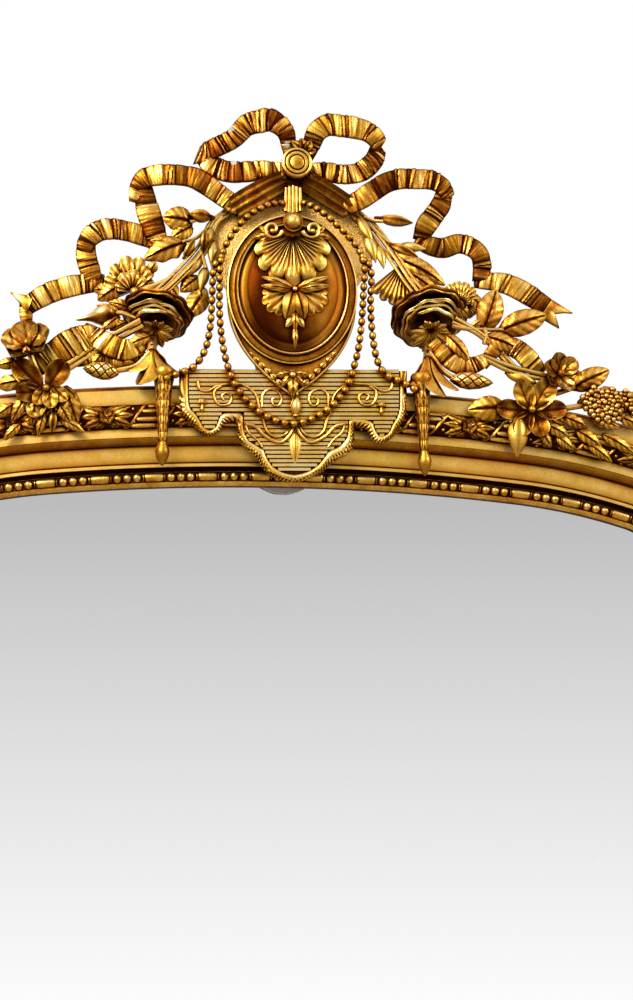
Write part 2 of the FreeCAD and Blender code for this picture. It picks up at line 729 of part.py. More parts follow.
nodes["crest_screws"] = Part.makeCompound(batten_screws + [mirrored(pin) for pin in batten_screws])

nodes["carcass_crown"] = carcass_crown
nodes["carcass_haunch_right"] = carcass_haunch
nodes["carcass_haunch_left"] = mirrored(carcass_haunch)
nodes["carcass_stile_right"] = carcass_stile
nodes["carcass_stile_left"] = mirrored(carcass_stile)
nodes["carcass_base"] = carcass_base

# Cartouche: a pointed shield on the board, an oval rim with a pearl, a domed panel and its shell
SHIELD_FRONT = 84.0
SHIELD_BASE_SPREAD_SHARE = 1.04
OVAL_HALF_WIDTH_PX = 66.0
OVAL_HALF_HEIGHT_PX = 77.0
OVAL_CENTRE_PX = (292.0, 290.0)
OVAL_HALF_WIDTH = OVAL_HALF_WIDTH_PX * PIXEL
OVAL_HALF_HEIGHT = OVAL_HALF_HEIGHT_PX * PIXEL
RIM_WIDTH = 16.0
RIM_RISE = 10.0
RIM_ROUND = 2.5
DOME_STEPS_SHARES = [(0.0, 0.0), (0.03, 0.45), (0.10, 0.78), (0.22, 1.0)]
DOME_RISE = 16.0
PEARL_PX = (293.0, 222.0)
PEARL_RADIUS = 12.0
TAIL_FRONT = 94.0
TAIL_PX = [(252, 342), (332, 342), (326, 364), (310, 380), (292, 396), (274, 380), (259, 364)]


def oval_middle(front):
    return on_plane(OVAL_CENTRE_PX[0], OVAL_CENTRE_PX[1], SHIELD_FRONT) + FORWARD * (front - SHIELD_FRONT)


oval_back = ellipse(
    oval_middle(CARCASS_DEPTH), OVAL_HALF_WIDTH * SHIELD_BASE_SPREAD_SHARE,
    OVAL_HALF_HEIGHT * SHIELD_BASE_SPREAD_SHARE)
oval_front = ellipse(oval_middle(SHIELD_FRONT), OVAL_HALF_WIDTH, OVAL_HALF_HEIGHT)
shield_body = Part.makeLoft([oval_back, oval_front], True, True)
shield_tail = slab(TAIL_PX, CARCASS_DEPTH, TAIL_FRONT)
shield = one_solid(seated(joined([shield_body, shield_tail]), crest_board, carcass_crown, moulding_crown))
nodes["cartouche_shield"] = shield


def oval_stack(steps, inset):
    """A solid of stacked ovals: rows of how far in from the edge and how far forward of the shield."""
    wires = [
        ellipse(
            oval_middle(SHIELD_FRONT + rise), OVAL_HALF_WIDTH - inset - step, OVAL_HALF_HEIGHT - inset - step)
        for step, rise in steps
    ]
    return Part.makeLoft(wires, True, True)


rim_outer = oval_stack([(0, 0), (RIM_ROUND, RIM_RISE - RIM_ROUND), (2 * RIM_ROUND, RIM_RISE)], 0)
rim_inner = oval_stack([(0, 0), (-RIM_ROUND, RIM_RISE - RIM_ROUND), (-2 * RIM_ROUND, RIM_RISE)], RIM_WIDTH)
pearl = ball(on_plane(*PEARL_PX, SHIELD_FRONT + RIM_RISE / 2), PEARL_RADIUS)
rim = one_solid(rim_outer.cut(rim_inner).fuse(pearl).cut(shield))
nodes["cartouche_rim"] = rim
dome_edge = OVAL_HALF_WIDTH - RIM_WIDTH
dome_steps = [(dome_edge * step, DOME_RISE * rise) for step, rise in DOME_STEPS_SHARES]
dome = one_solid(seated(oval_stack(dome_steps, RIM_WIDTH + CLEARANCE), pearl, shield))
nodes["cartouche_dome"] = dome

SHELL_HEART_PX = (292.0, 292.0)
SHELL_TIPS_PX = [(258, 270), (265, 252), (277, 241), (292, 237), (307, 241), (319, 252), (326, 270)]
SHELL_WIDTH_SHARE = 0.85
HUSK_LEAVES = [
    (292, 286, 0.98, 262, 312, 0.97, 1.0), (292, 286, 0.98, 322, 312, 0.97, 1.0),
    (292, 290, 0.98, 276, 328, 0.97, 0.8), (292, 290, 0.98, 308, 328, 0.97, 0.8),
    (292, 296, 0.98, 292, 348, 0.96, 0.9),
]
SHELL_DEPTH_SHARE = 1.0
shell_heart = spot(*SHELL_HEART_PX, SHELL_DEPTH_SHARE)
shell_ribs = [leaf(shell_heart, spot(*tip, SHELL_DEPTH_SHARE), LEAF_WIDTH * SHELL_WIDTH_SHARE)
              for tip in SHELL_TIPS_PX]
SHELL_BOSS_RADIUS = 9.0
shell = joined([ball(shell_heart, SHELL_BOSS_RADIUS)] + shell_ribs + leaves(HUSK_LEAVES))
nodes["cartouche_shell"] = one_solid(seated(shell, dome, rim, shield))

# Ribbon bow at the head of the crest: a rosette pins two loops, with a gathered collar under it
KNOT_PX = (293.3, 172.0)
KNOT_RADIUS = 20.5
KNOT_HEIGHT = 46.0
KNOT_PROFILE_SHARES = [
    (0.0, 1.0), (0.72, 1.0), (0.86, 0.92), (0.86, 0.72), (0.78, 0.68), (0.78, 0.45), (0.95, 0.38),
    (1.0, 0.2),
]
knot_back = on_plane(*KNOT_PX, CARCASS_DEPTH)
knot_front = knot_back + FORWARD * KNOT_HEIGHT


def knot():
    """The rosette that pins the bow to the board."""
    length = (knot_front - knot_back).Length
    seam = Vector(-1, 0, -1).normalize()
    rim_points = [knot_back + FORWARD * (length * along) + seam * (KNOT_RADIUS * out)
                  for along, out in KNOT_PROFILE_SHARES]
    return turned(polygon([knot_back] + rim_points + [knot_front]), knot_back, FORWARD)


bow_knot = knot()
nodes["bow_knot"] = bow_knot

COLLAR_PX = [(283, 178), (303, 178), (300, 200), (297, 214), (287, 214), (285, 200)]
COLLAR_FRONT = 58.0
COLLAR_STRAPS = [
    (296, 193, 0.46, 230, 203, 0.44, 1.2), (290, 193, 0.46, 350, 203, 0.44, 1.2),
]
collar = joined([slab(COLLAR_PX, CARCASS_DEPTH, COLLAR_FRONT)] + leaves(COLLAR_STRAPS))
collar = one_solid(seated(collar, bow_knot, crest_board, shield, rim))
nodes["bow_collar"] = collar

BOW_LEFT_BANDS = [
    [(291, 162, 0.46, 0.6), (289, 147, 0.50, 0.75), (285, 131, 0.54, 0.95), (272, 120, 0.58, 1.15),
     (258, 121, 0.58, 1.2), (246, 126, 0.55, 1.1), (234, 138, 0.50, 1.0), (219, 146, 0.46, 1.0), (205, 152, 0.43, 0.95),
     (196, 155, 0.41, 0.8)],
    [(199, 152, 0.38, 0.7), (209, 163, 0.41, 1.0), (225, 171, 0.45, 1.1), (245, 172, 0.48, 1.05),
     (264, 170, 0.50, 0.95), (287, 172, 0.52, 0.8)],
]
BOW_RIGHT_BANDS = [
    [(305, 162, 0.48, 0.6), (311, 146, 0.53, 0.9), (317, 132, 0.57, 1.05), (328, 125, 0.59, 1.15),
     (342, 126, 0.59, 1.15), (356, 128, 0.57, 1.15), (368, 132, 0.53, 1.05), (377, 140, 0.48, 0.95),
     (381, 149, 0.44, 0.8)],
    [(380, 144, 0.39, 0.8), (374, 160, 0.42, 1.0), (364, 170, 0.45, 1.05), (352, 174, 0.48, 1.0),
     (338, 174, 0.50, 1.0), (322, 171, 0.52, 0.9), (303, 172, 0.53, 0.75)],
]
bow_left = one_solid(seated(joined([band(rows) for rows in BOW_LEFT_BANDS]), bow_knot, collar, crest_board))
bow_right = one_solid(seated(
    joined([band(rows) for rows in BOW_RIGHT_BANDS]), bow_knot, collar, crest_board))
nodes["bow_left"] = bow_left
nodes["bow_right"] = bow_right

# Ribbon tails, cascading outwards from the collar's straps in folded bands
RIBBON_LEFT_BANDS = [
    [(242, 211, 0.44, 0.8), (222, 196, 0.48, 1.0), (208, 186, 0.50, 1.05), (194, 178, 0.52, 1.05),
     (178, 175, 0.52, 1.05), (160, 175, 0.51, 1.05), (146, 178, 0.49, 1.0), (137, 187, 0.45, 0.75),
     (133, 202, 0.42, 0.4)],
    [(143, 183, 0.42, 0.8), (146, 203, 0.43, 1.1), (150, 217, 0.45, 1.2), (155, 232, 0.46, 1.1),
     (158, 248, 0.44, 0.9)],
    [(164, 244, 0.40, 0.8), (146, 237, 0.43, 1.0), (130, 232, 0.46, 1.0), (114, 229, 0.48, 1.05),
     (99, 231, 0.48, 1.05), (88, 240, 0.45, 0.95), (83, 254, 0.42, 0.7)],
    [(88, 236, 0.40, 0.8), (86, 254, 0.42, 1.0), (90, 270, 0.44, 1.0), (96, 288, 0.42, 0.8)],
    [(106, 282, 0.40, 0.8), (84, 284, 0.43, 1.0), (68, 287, 0.46, 1.05), (52, 292, 0.47, 1.05),
     (38, 299, 0.46, 1.0), (24, 309, 0.43, 0.8)],
    [(25, 296, 0.40, 0.5), (26, 312, 0.42, 0.65), (27, 328, 0.45, 0.5)],
]
RIBBON_RIGHT_BANDS = [
    [(339, 210, 0.44, 0.8), (358, 201, 0.48, 1.0), (372, 192, 0.50, 1.05), (386, 183, 0.52, 1.05),
     (400, 179, 0.53, 1.05), (416, 179, 0.53, 1.05), (431, 180, 0.51, 1.0), (442, 186, 0.47, 0.9),
     (449, 198, 0.44, 0.7)],
    [(446, 186, 0.41, 0.8), (441, 204, 0.43, 1.0), (434, 215, 0.45, 1.05), (426, 226, 0.46, 1.05),
     (420, 241, 0.44, 0.8)],
    [(416, 238, 0.42, 0.7), (428, 245, 0.44, 0.95), (443, 248, 0.46, 1.05), (457, 244, 0.47, 1.0),
     (469, 246, 0.47, 1.0), (479, 254, 0.46, 0.95), (482, 266, 0.44, 0.95), (480, 282, 0.42, 0.8)],
    [(474, 281, 0.39, 0.7), (497, 282, 0.43, 1.0), (512, 286, 0.46, 1.1), (527, 294, 0.47, 1.1),
     (541, 303, 0.46, 1.0), (555, 312, 0.43, 0.8), (569, 317, 0.40, 0.35)],
]
ribbon_left = one_solid(seated(
    joined([band(rows) for rows in RIBBON_LEFT_BANDS]), collar, crest_board, bow_left, shield))
ribbon_right = one_solid(seated(
    joined([band(rows) for rows in RIBBON_RIGHT_BANDS]), collar, crest_board, bow_right, shield))
nodes["ribbon_left"] = ribbon_left
nodes["ribbon_right"] = ribbon_right

# Roses, and the sprays of stalks, leaves and small flowers that carry them out from the board
ROSE_LEFT_PX = (155, 317)
ROSE_RIGHT_PX = (431, 317)
ROSE_DEPTH_SHARE = 0.80
ROSE_RADIUS = 46.0
ROSE_INNER_SHARE = 0.62
ROSE_STEP_SHARE = 0.18


def rose(place, facing):
    """A full rose: five broad petals and five more, stepped forward, round its heart."""
    middle = spot(*place, ROSE_DEPTH_SHARE)
    facing = Vector(facing).normalize()
    outer = blossom(middle, ROSE_RADIUS, facing, 5)
    inner = blossom(middle + facing * (ROSE_RADIUS * ROSE_STEP_SHARE), ROSE_RADIUS * ROSE_INNER_SHARE,
                    facing, 5, PETAL_TURN_SHARE)
    return one_solid(joined(outer + inner))


PETAL_TURN_SHARE = 0.5
ROSE_LEFT_FACING = (-0.25, -1, -0.3)
ROSE_RIGHT_FACING = (0.2, -1, -0.3)
rose_left = rose(ROSE_LEFT_PX, ROSE_LEFT_FACING)
rose_right = rose(ROSE_RIGHT_PX, ROSE_RIGHT_FACING)
nodes["rose_left"] = rose_left
nodes["rose_right"] = rose_right

SPRAY_LEFT_STALKS = [
    [(228, 212, 0.345), (211, 224, 0.37), (198, 251, 0.46), (176, 277, 0.62), (158, 300, 0.74)],
]
SPRAY_LEFT_LEAVES = [
    (206, 228, 0.39, 161, 218, 0.50, 1.1), (218, 216, 0.37, 183, 210, 0.47, 0.9),
    (196, 250, 0.46, 145, 255, 0.52, 1.1), (204, 236, 0.42, 180, 258, 0.53, 0.9),
    (206, 236, 0.42, 200, 262, 0.54, 0.7), (196, 252, 0.47, 188, 284, 0.56, 0.9),
    (194, 254, 0.47, 206, 288, 0.56, 0.8), (180, 272, 0.58, 196, 306, 0.66, 1.0),
]
SPRAY_RIGHT_STALKS = [
    [(355, 213, 0.345), (372, 228, 0.37), (390, 252, 0.46), (408, 280, 0.62), (425, 303, 0.74)],
]
SPRAY_RIGHT_LEAVES = [
    (362, 219, 0.36, 415, 222, 0.50, 0.95), (374, 231, 0.38, 428, 249, 0.53, 1.1),
    (390, 253, 0.46, 448, 282, 0.56, 1.3), (386, 250, 0.45, 379, 301, 0.56, 1.0),
    (396, 262, 0.50, 398, 306, 0.60, 1.2),
]
RUFFLE_LEFT_PX = (136, 277)
RUFFLE_RIGHT_PX = (460, 290)
RUFFLE_RADIUS = 28.0
RUFFLE_RIGHT_SHARE = 0.75
RUFFLE_DEPTH_SHARE = 0.58
RUFFLE_STALK_LEFT = [(176, 277, 0.60), (156, 280, 0.58), (140, 277, 0.56)]
RUFFLE_STALK_RIGHT = [(408, 280, 0.62), (436, 291, 0.58), (458, 290, 0.56)]


def spray(stalks, leaf_rows, ruffle_place, ruffle_radius, ruffle_stalk):
    """Stalks, leaves and one ruffled flower carved together."""
    flower = blossom(spot(*ruffle_place, RUFFLE_DEPTH_SHARE), ruffle_radius, FORWARD, 6)
    return joined([stem(rows) for rows in stalks + [ruffle_stalk]] + leaves(leaf_rows) + flower)


spray_left = spray(SPRAY_LEFT_STALKS, SPRAY_LEFT_LEAVES, RUFFLE_LEFT_PX, RUFFLE_RADIUS, RUFFLE_STALK_LEFT)
spray_left = one_solid(seated(spray_left, crest_board, rose_left, ribbon_left, collar))
spray_right = spray(SPRAY_RIGHT_STALKS, SPRAY_RIGHT_LEAVES, RUFFLE_RIGHT_PX,
                    RUFFLE_RADIUS * RUFFLE_RIGHT_SHARE, RUFFLE_STALK_RIGHT)
spray_right = one_solid(seated(spray_right, crest_board, rose_right, ribbon_right, collar))
nodes["spray_left"] = spray_left
nodes["spray_right"] = spray_right

# Lambrequin: a scalloped apron hung over the crown moulding from a block on the frame's outer edge
LAMBREQUIN_BACK = TORUS_FRONT + CLEARANCE
LAMBREQUIN_FRONT = 90.0
LAMBREQUIN_FIELD_DEPTH = 2.5
LAMBREQUIN_SIDES_PX = [(183, 418), (181, 368), (408, 368), (406, 422)]
LAMBREQUIN_LOBES_PX = [
    ((406, 422), (382, 442), (358, 428)), ((358, 428), (346, 454), (318, 464)),
    ((318, 464), (292, 485), (268, 463)), ((268, 463), (244, 452), (232, 425)),
    ((232, 425), (208, 438), (183, 418)),
]
FIELD_SIDES_PX = [(190, 416), (189, 377), (400, 377), (399, 419)]
FIELD_LOBES_PX = [
    ((399, 419), (382, 434), (358, 418)), ((358, 418), (340, 447), (314, 456)),
    ((314, 456), (292, 476), (272, 455)), ((272, 455), (250, 446), (232, 416)),
    ((232, 416), (208, 431), (190, 416)),
]
LAMBREQUIN_BLOCK_PX = [(190, 369), (398, 369), (398, 410), (190, 410)]


def apron_face(side_places, lobes):
    """A face on the apron's front: straight sides and top, five lobes below."""
    def at(place):
        return on_plane(*place, LAMBREQUIN_FRONT)

    sides = [at(place) for place in side_places]
    edges = [Part.LineSegment(a, b).toShape() for a, b in zip(sides, sides[1:])]
    edges += [Part.Arc(*[at(place) for place in lobe]).toShape() for lobe in lobes]
    return Part.Face(Part.Wire(Part.__sortEdges__(edges)))


apron = apron_face(LAMBREQUIN_SIDES_PX, LAMBREQUIN_LOBES_PX).extrude(
    Vector(0, LAMBREQUIN_FRONT - LAMBREQUIN_BACK, 0))
field = apron_face(FIELD_SIDES_PX, FIELD_LOBES_PX).extrude(Vector(0, LAMBREQUIN_FIELD_DEPTH, 0))
block = slab(LAMBREQUIN_BLOCK_PX, CARCASS_DEPTH, LAMBREQUIN_BACK + CLEARANCE)
lambrequin = joined([apron.cut(field), block])
lambrequin = one_solid(seated(lambrequin, shield, moulding_crown, torus_top, carcass_crown, crest_board))
nodes["lambrequin"] = lambrequin

# Lower sprigs: twisted ribbon and stalks from each rose out to the shoulder flowers
TWIST_LEFT_BANDS = [
    [(42, 360, 0.70, 0.6), (57, 349, 0.72, 0.85), (70, 341, 0.74, 0.9), (84, 334, 0.74, 0.85),
     (96, 330, 0.72, 0.6)],
    [(82, 327, 0.70, 0.6), (98, 338, 0.74, 0.9), (112, 346, 0.77, 0.95), (127, 351, 0.76, 0.9),
     (139, 346, 0.72, 0.7), (147, 334, 0.70, 0.5)],
]
TWIST_LEFT_STALK = [(140, 322, 0.72), (105, 340, 0.70), (61, 368, 0.72)]
TWIST_RIGHT_BANDS = [
    [(431, 341, 0.70, 0.7), (448, 358, 0.75, 0.95), (463, 366, 0.77, 0.95), (477, 364, 0.74, 0.8),
     (490, 356, 0.70, 0.5)],
    [(483, 366, 0.70, 0.5), (494, 351, 0.72, 0.75), (507, 346, 0.74, 0.95), (520, 351, 0.76, 1.0),
     (531, 362, 0.76, 1.0), (542, 375, 0.72, 0.8)],
]
TWIST_RIGHT_STALK = [(452, 322, 0.72), (485, 340, 0.70), (530, 392, 0.74)]
TWIST_RIGHT_LEAVES = [
    (478, 334, 0.71, 491, 290, 0.68, 1.3), (486, 340, 0.71, 548, 318, 0.68, 1.4),
    (470, 328, 0.71, 508, 326, 0.69, 0.6),
]
twist_left = joined([stem(TWIST_LEFT_STALK)] + [band(rows) for rows in TWIST_LEFT_BANDS])
twist_left = one_solid(seated(twist_left, rose_left, ribbon_left, spray_left, moulding_crown))
twist_right = joined(
    [stem(TWIST_RIGHT_STALK)] + [band(rows) for rows in TWIST_RIGHT_BANDS] + leaves(TWIST_RIGHT_LEAVES))
twist_right = one_solid(seated(twist_right, rose_right, ribbon_right, spray_right, moulding_crown))
nodes["twist_left"] = twist_left
nodes["twist_right"] = twist_right

# Bell flowers under the roses, each with a fir cone bud, and the turned drops they let fall
BELL_SHARES = [(0.0, 0.16), (0.3, 0.24), (0.6, 0.5), (0.85, 0.85), (1.0, 1.0)]
CONE_SHARES = [(0.08, 0.45), (0.25, 0.85), (0.45, 1.0), (0.7, 0.8), (0.9, 0.4)]
DROP_SHARES = [
    (0.0, 0.85), (0.03, 1.0), (0.10, 0.95), (0.14, 0.72), (0.30, 0.62), (0.62, 0.42), (0.76, 0.36),
    (0.80, 0.52), (0.86, 0.66), (0.92, 0.5), (0.96, 0.3),
]
BELL_RADIUS = 25.0
BELL_LEFT = [(152, 330, 0.82), (153, 374, 0.86)]
BELL_RIGHT = [(428, 337, 0.83), (435, 386, 0.86)]
CONE_RADIUS = 12.0
CONE_LEFT = [(122, 372, 0.80), (82, 368, 0.80)]
CONE_RIGHT = [(450, 379, 0.80), (493, 383, 0.80)]
CONE_STALK_LEFT = [(150, 352, 0.82), (136, 366, 0.81), (116, 371, 0.80)]
CONE_STALK_RIGHT = [(429, 352, 0.82), (442, 370, 0.81), (456, 380, 0.80)]
CONE_STALK_SHARE = 0.7
DROP_RADIUS = 14.0
DROP_LEFT = [(164, 368, 0.84), (162, 466, 0.80)]
DROP_RIGHT = [(421, 374, 0.84), (425, 476, 0.80)]


def bell(axis, cone_axis, cone_stalk):
    """A bell flower and a scaly cone on one stalk."""
    start, end = [spot(*place) for place in axis]
    flower = spindle(start, end, BELL_RADIUS, BELL_SHARES)
    cone = spindle(*[spot(*place) for place in cone_axis], CONE_RADIUS, CONE_SHARES)
    return joined([flower, cone, stem(cone_stalk, STEM_RADIUS * CONE_STALK_SHARE)])


def drop(axis):
    """A turned, tapering drop with a bulb at its end."""
    start, end = [spot(*place) for place in axis]
    return spindle(start, end, DROP_RADIUS, DROP_SHARES)


bell_left = bell(BELL_LEFT, CONE_LEFT, CONE_STALK_LEFT)
bell_left = one_solid(seated(bell_left, rose_left, twist_left, spray_left, torus_top, moulding_crown))
bell_right = bell(BELL_RIGHT, CONE_RIGHT, CONE_STALK_RIGHT)
bell_right = one_solid(seated(bell_right, rose_right, twist_right, spray_right, torus_top, moulding_crown))
nodes["bell_left"] = bell_left
nodes["bell_right"] = bell_right
drop_left = seated(drop(DROP_LEFT), bell_left, rose_left, torus_top, moulding_crown, lambrequin)
drop_left = one_solid(drop_left)
drop_right = seated(drop(DROP_RIGHT), bell_right, rose_right, torus_top, moulding_crown, lambrequin)
drop_right = one_solid(drop_right)
nodes["drop_left"] = drop_left
nodes["drop_right"] = drop_right

# Shoulder posies on the torus: flowers, leaves and a cluster of berries
POSY_FLOWER_RADIUS = 40.0
POSY_LEFT_FLOWERS = [(41, 378, 0.86, 0.95), (24, 347, 0.80, 0.7)]
POSY_LEFT_STALK = [(41, 378, 0.83), (33, 362, 0.80), (24, 347, 0.77)]
POSY_LEFT_LEAVES = [
    (41, 378, 0.83, 77, 424, 0.77, 1.2), (41, 378, 0.83, 53, 436, 0.77, 1.0),
    (41, 378, 0.83, -8, 382, 0.80, 1.4), (41, 378, 0.83, 12, 424, 0.77, 1.3),
]
POSY_RIGHT_FLOWERS = [(533, 409, 0.87, 1.025), (560, 375, 0.80, 0.675)]
POSY_RIGHT_STALK = [(533, 409, 0.84), (547, 392, 0.80), (560, 375, 0.77)]
POSY_RIGHT_LEAVES = [
    (533, 409, 0.83, 466, 413, 0.71, 1.8), (533, 409, 0.83, 515, 458, 0.80, 1.3),
    (560, 375, 0.78, 611, 369, 0.78, 1.3), (533, 409, 0.83, 590, 436, 0.71, 1.4),
]
BERRY_RADIUS = 6.8
BERRY_STALK = [(533, 409, 0.84), (572, 405, 0.84), (600, 404, 0.84), (632, 399, 0.80)]
BERRIES_PX = [
    (586, 398), (594, 392), (602, 397), (611, 394), (590, 407), (599, 406), (608, 404), (617, 401),
    (597, 415), (606, 413), (615, 410), (625, 396), (630, 405),
]
BERRY_DEPTH_SHARE = 0.86


def berry(middle):
    """A berry cut in flat facets."""
    rings = []
    for latitude in (-math.pi / 4, 0, math.pi / 4):
        reach, level = BERRY_RADIUS * math.cos(latitude), FORWARD * (BERRY_RADIUS * math.sin(latitude))
        turns = [2 * math.pi * index / 8 for index in range(8)]
        rings.append([middle + level + Vector(math.sin(turn), 0, math.cos(turn)) * reach for turn in turns])
    return faceted(rings, middle - FORWARD * BERRY_RADIUS, middle + FORWARD * BERRY_RADIUS)


def posy(flowers, leaf_rows, stalks, berries):
    """Flowers, leaves and berries carved as one group."""
    shapes = []
    for column, row, depth, size_share in flowers:
        shapes += blossom(spot(column, row, depth), POSY_FLOWER_RADIUS * size_share, FORWARD, 5)
    shapes += leaves(leaf_rows) + [stem(rows) for rows in stalks]
    shapes += [berry(spot(*place, BERRY_DEPTH_SHARE)) for place in berries]
    return joined(shapes)


posy_left = posy(POSY_LEFT_FLOWERS, POSY_LEFT_LEAVES, [POSY_LEFT_STALK], [])
posy_left = one_solid(seated(
    posy_left, torus_top, nodes["moulding_haunch_left"], moulding_crown, twist_left, ribbon_left, bell_left))
posy_right = posy(POSY_RIGHT_FLOWERS, POSY_RIGHT_LEAVES, [POSY_RIGHT_STALK, BERRY_STALK], BERRIES_PX)
posy_right = one_solid(seated(
    posy_right, torus_top, moulding_haunch, moulding_crown, twist_right, ribbon_right, bell_right))
nodes["posy_left"] = posy_left
nodes["posy_right"] = posy_right

# Pearl strings: beads on a cord, from the bow round the oval and down across the apron
BEAD_RADIUS = 5.0
BEAD_PITCH = 12.5
CORD_RADIUS = 1.6
STRINGS = [
    [(284, 205, 0.60), (262, 212, 0.80), (240, 226, 0.86), (224, 248, 0.88), (216, 278, 0.88),
     (215, 312, 0.88), (219, 345, 0.94), (228, 372, 0.955), (248, 402, 0.955), (270, 418, 0.955),
     (292, 424, 0.955), (314, 418, 0.955), (336, 403, 0.955), (355, 374, 0.955), (366, 345, 0.94), (371, 312, 0.88),
     (371, 278, 0.88), (362, 248, 0.88), (346, 226, 0.86), (324, 212, 0.80), (302, 205, 0.60)],
    [(240, 207, 0.49), (214, 236, 0.74), (207, 270, 0.84), (205, 310, 0.86), (199, 345, 0.90),
     (188, 366, 0.94), (167, 378, 0.94)],
    [(343, 207, 0.49), (370, 238, 0.74), (379, 270, 0.84), (382, 310, 0.86), (386, 345, 0.90),
     (394, 368, 0.94), (414, 389, 0.94)],
]


def bead_places(rows):
    """Bead middles at an even pitch along a hanging line."""
    curve = Part.BSplineCurve()
    curve.interpolate([spot(*row) for row in rows])
    count = int(curve.length() / BEAD_PITCH)
    return curve.toShape().discretize(Number=count + 1)


def bead(middle, way):
    """A bead whose seam lies clear of the cord."""
    side = way.cross(FORWARD).normalize()
    turn = FreeCAD.Rotation(side, FORWARD.cross(side), FORWARD)
    sphere = Part.makeSphere(BEAD_RADIUS)
    sphere.Placement = FreeCAD.Placement(middle, turn)
    return sphere


def bead_string(rows):
    """Beads and the cord between them, as one piece."""
    places = bead_places(rows)
    shapes = [bead(place, way) for place, way in zip(places, ways_along(places))]
    for near, far in zip(places, places[1:]):
        shapes.append(Part.makeCylinder(CORD_RADIUS, (far - near).Length, near, far - near))
    return joined(shapes)


BEAD_VOLUME = 4 / 3 * math.pi * BEAD_RADIUS ** 3
STRING_REMNANT_SHARE = 0.6
string_carriers = [
    shield, rim, collar, crest_board, lambrequin, ribbon_left, ribbon_right, spray_left, spray_right,
    rose_left, rose_right, bell_left, bell_right, drop_left, drop_right,
]
pearl_strings = []
for string_rows in STRINGS:
    string = seated(bead_string(string_rows), *string_carriers)
    pearl_strings += [piece for piece in string.Solids if piece.Volume > BEAD_VOLUME * STRING_REMNANT_SHARE]
nodes["pearl_strings"] = Part.makeCompound(pearl_strings)

os.makedirs("parts", exist_ok=True)
for name, shape in nodes.items():
    shape.exportStep("parts/%s.step" % name)
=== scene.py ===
import math

import bmesh
import bpy
import numpy as np
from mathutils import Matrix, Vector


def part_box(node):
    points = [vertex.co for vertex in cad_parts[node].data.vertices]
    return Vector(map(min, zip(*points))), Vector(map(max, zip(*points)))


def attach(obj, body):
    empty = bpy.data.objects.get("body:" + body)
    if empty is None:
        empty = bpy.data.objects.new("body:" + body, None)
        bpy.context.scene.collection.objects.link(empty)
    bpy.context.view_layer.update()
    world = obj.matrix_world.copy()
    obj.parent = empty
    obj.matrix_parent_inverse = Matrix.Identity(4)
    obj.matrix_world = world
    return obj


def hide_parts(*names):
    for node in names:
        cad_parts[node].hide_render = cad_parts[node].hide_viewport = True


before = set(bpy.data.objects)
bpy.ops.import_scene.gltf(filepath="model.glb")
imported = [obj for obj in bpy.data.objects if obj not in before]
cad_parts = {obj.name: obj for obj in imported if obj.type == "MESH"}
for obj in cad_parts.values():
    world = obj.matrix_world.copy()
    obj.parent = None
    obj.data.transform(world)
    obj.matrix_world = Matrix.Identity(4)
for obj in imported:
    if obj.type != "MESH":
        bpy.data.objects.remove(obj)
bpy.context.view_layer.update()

# Carcass: the pine frame that everything is built on, butted and dowelled, left bare behind.
# Sawn softwood gone brown with age, its grain along each member.
PINE_PALE, PINE_DARK = (0.42, 0.25, 0.115), (0.20, 0.098, 0.036)


def feed(tree, node, sockets):
    """A node's sockets, each set to a value or linked to another node's output."""
    for socket, value in sockets.items():
        if isinstance(value, bpy.types.NodeSocket):
            tree.links.new(value, node.inputs[socket])
        else:
            node.inputs[socket].default_value = value


def put(tree, kind, sockets=None, **settings):
    """One node with its settings, its sockets fed."""
    node = tree.nodes.new(kind)
    for key, value in settings.items():
        setattr(node, key, value)
    feed(tree, node, sockets or {})
    return node


def tones(tree, factor, stops):
    """A run of colours along a factor."""
    node = put(tree, "ShaderNodeValToRGB", {"Fac": factor})
    elements = node.color_ramp.elements
    elements.remove(elements[1])
    elements[0].position, elements[0].color = stops[0][0], (*stops[0][1], 1)
    for place, colour in stops[1:]:
        elements.new(place).color = (*colour, 1)
    return node.outputs["Color"]


def sums(tree, operation, first, second):
    """One step of arithmetic on two factors."""
    return put(tree, "ShaderNodeMath", {0: first, 1: second}, operation=operation).outputs["Value"]


def mixed(tree, *parts):
    """Factors added up, each by its weight."""
    total = sums(tree, "MULTIPLY", *parts[0])
    for part in parts[1:]:
        total = sums(tree, "ADD", total, sums(tree, "MULTIPLY", *part))
    return total


def noise(tree, place, scale, detail, rough=0.5):
    """A cloudy pattern, as a factor."""
    sockets = {"Vector": place, "Scale": scale, "Detail": detail, "Roughness": rough}
    return put(tree, "ShaderNodeTexNoise", sockets).outputs["Fac"]


def ranged(tree, value, to_low, to_high, low=0.0, high=1.0):
    """A factor carried from one range to another."""
    sockets = {"Value": value, "From Min": low, "From Max": high, "To Min": to_low, "To Max": to_high}
    return put(tree, "ShaderNodeMapRange", sockets).outputs["Result"]


def bumped(tree, height, strength, distance):
    """The surface's normal, roughened by a height."""
    sockets = {"Height": height, "Strength": strength, "Distance": distance}
    return put(tree, "ShaderNodeBump", sockets).outputs["Normal"]


def new_finish(name):
    """A material with its object coordinates ready for a pattern."""
    finish = bpy.data.materials.new(name)
    finish.use_nodes = True
    tree = finish.node_tree
    place = put(tree, "ShaderNodeTexCoord").outputs["Object"]
    return finish, tree, tree.nodes["Principled BSDF"], place


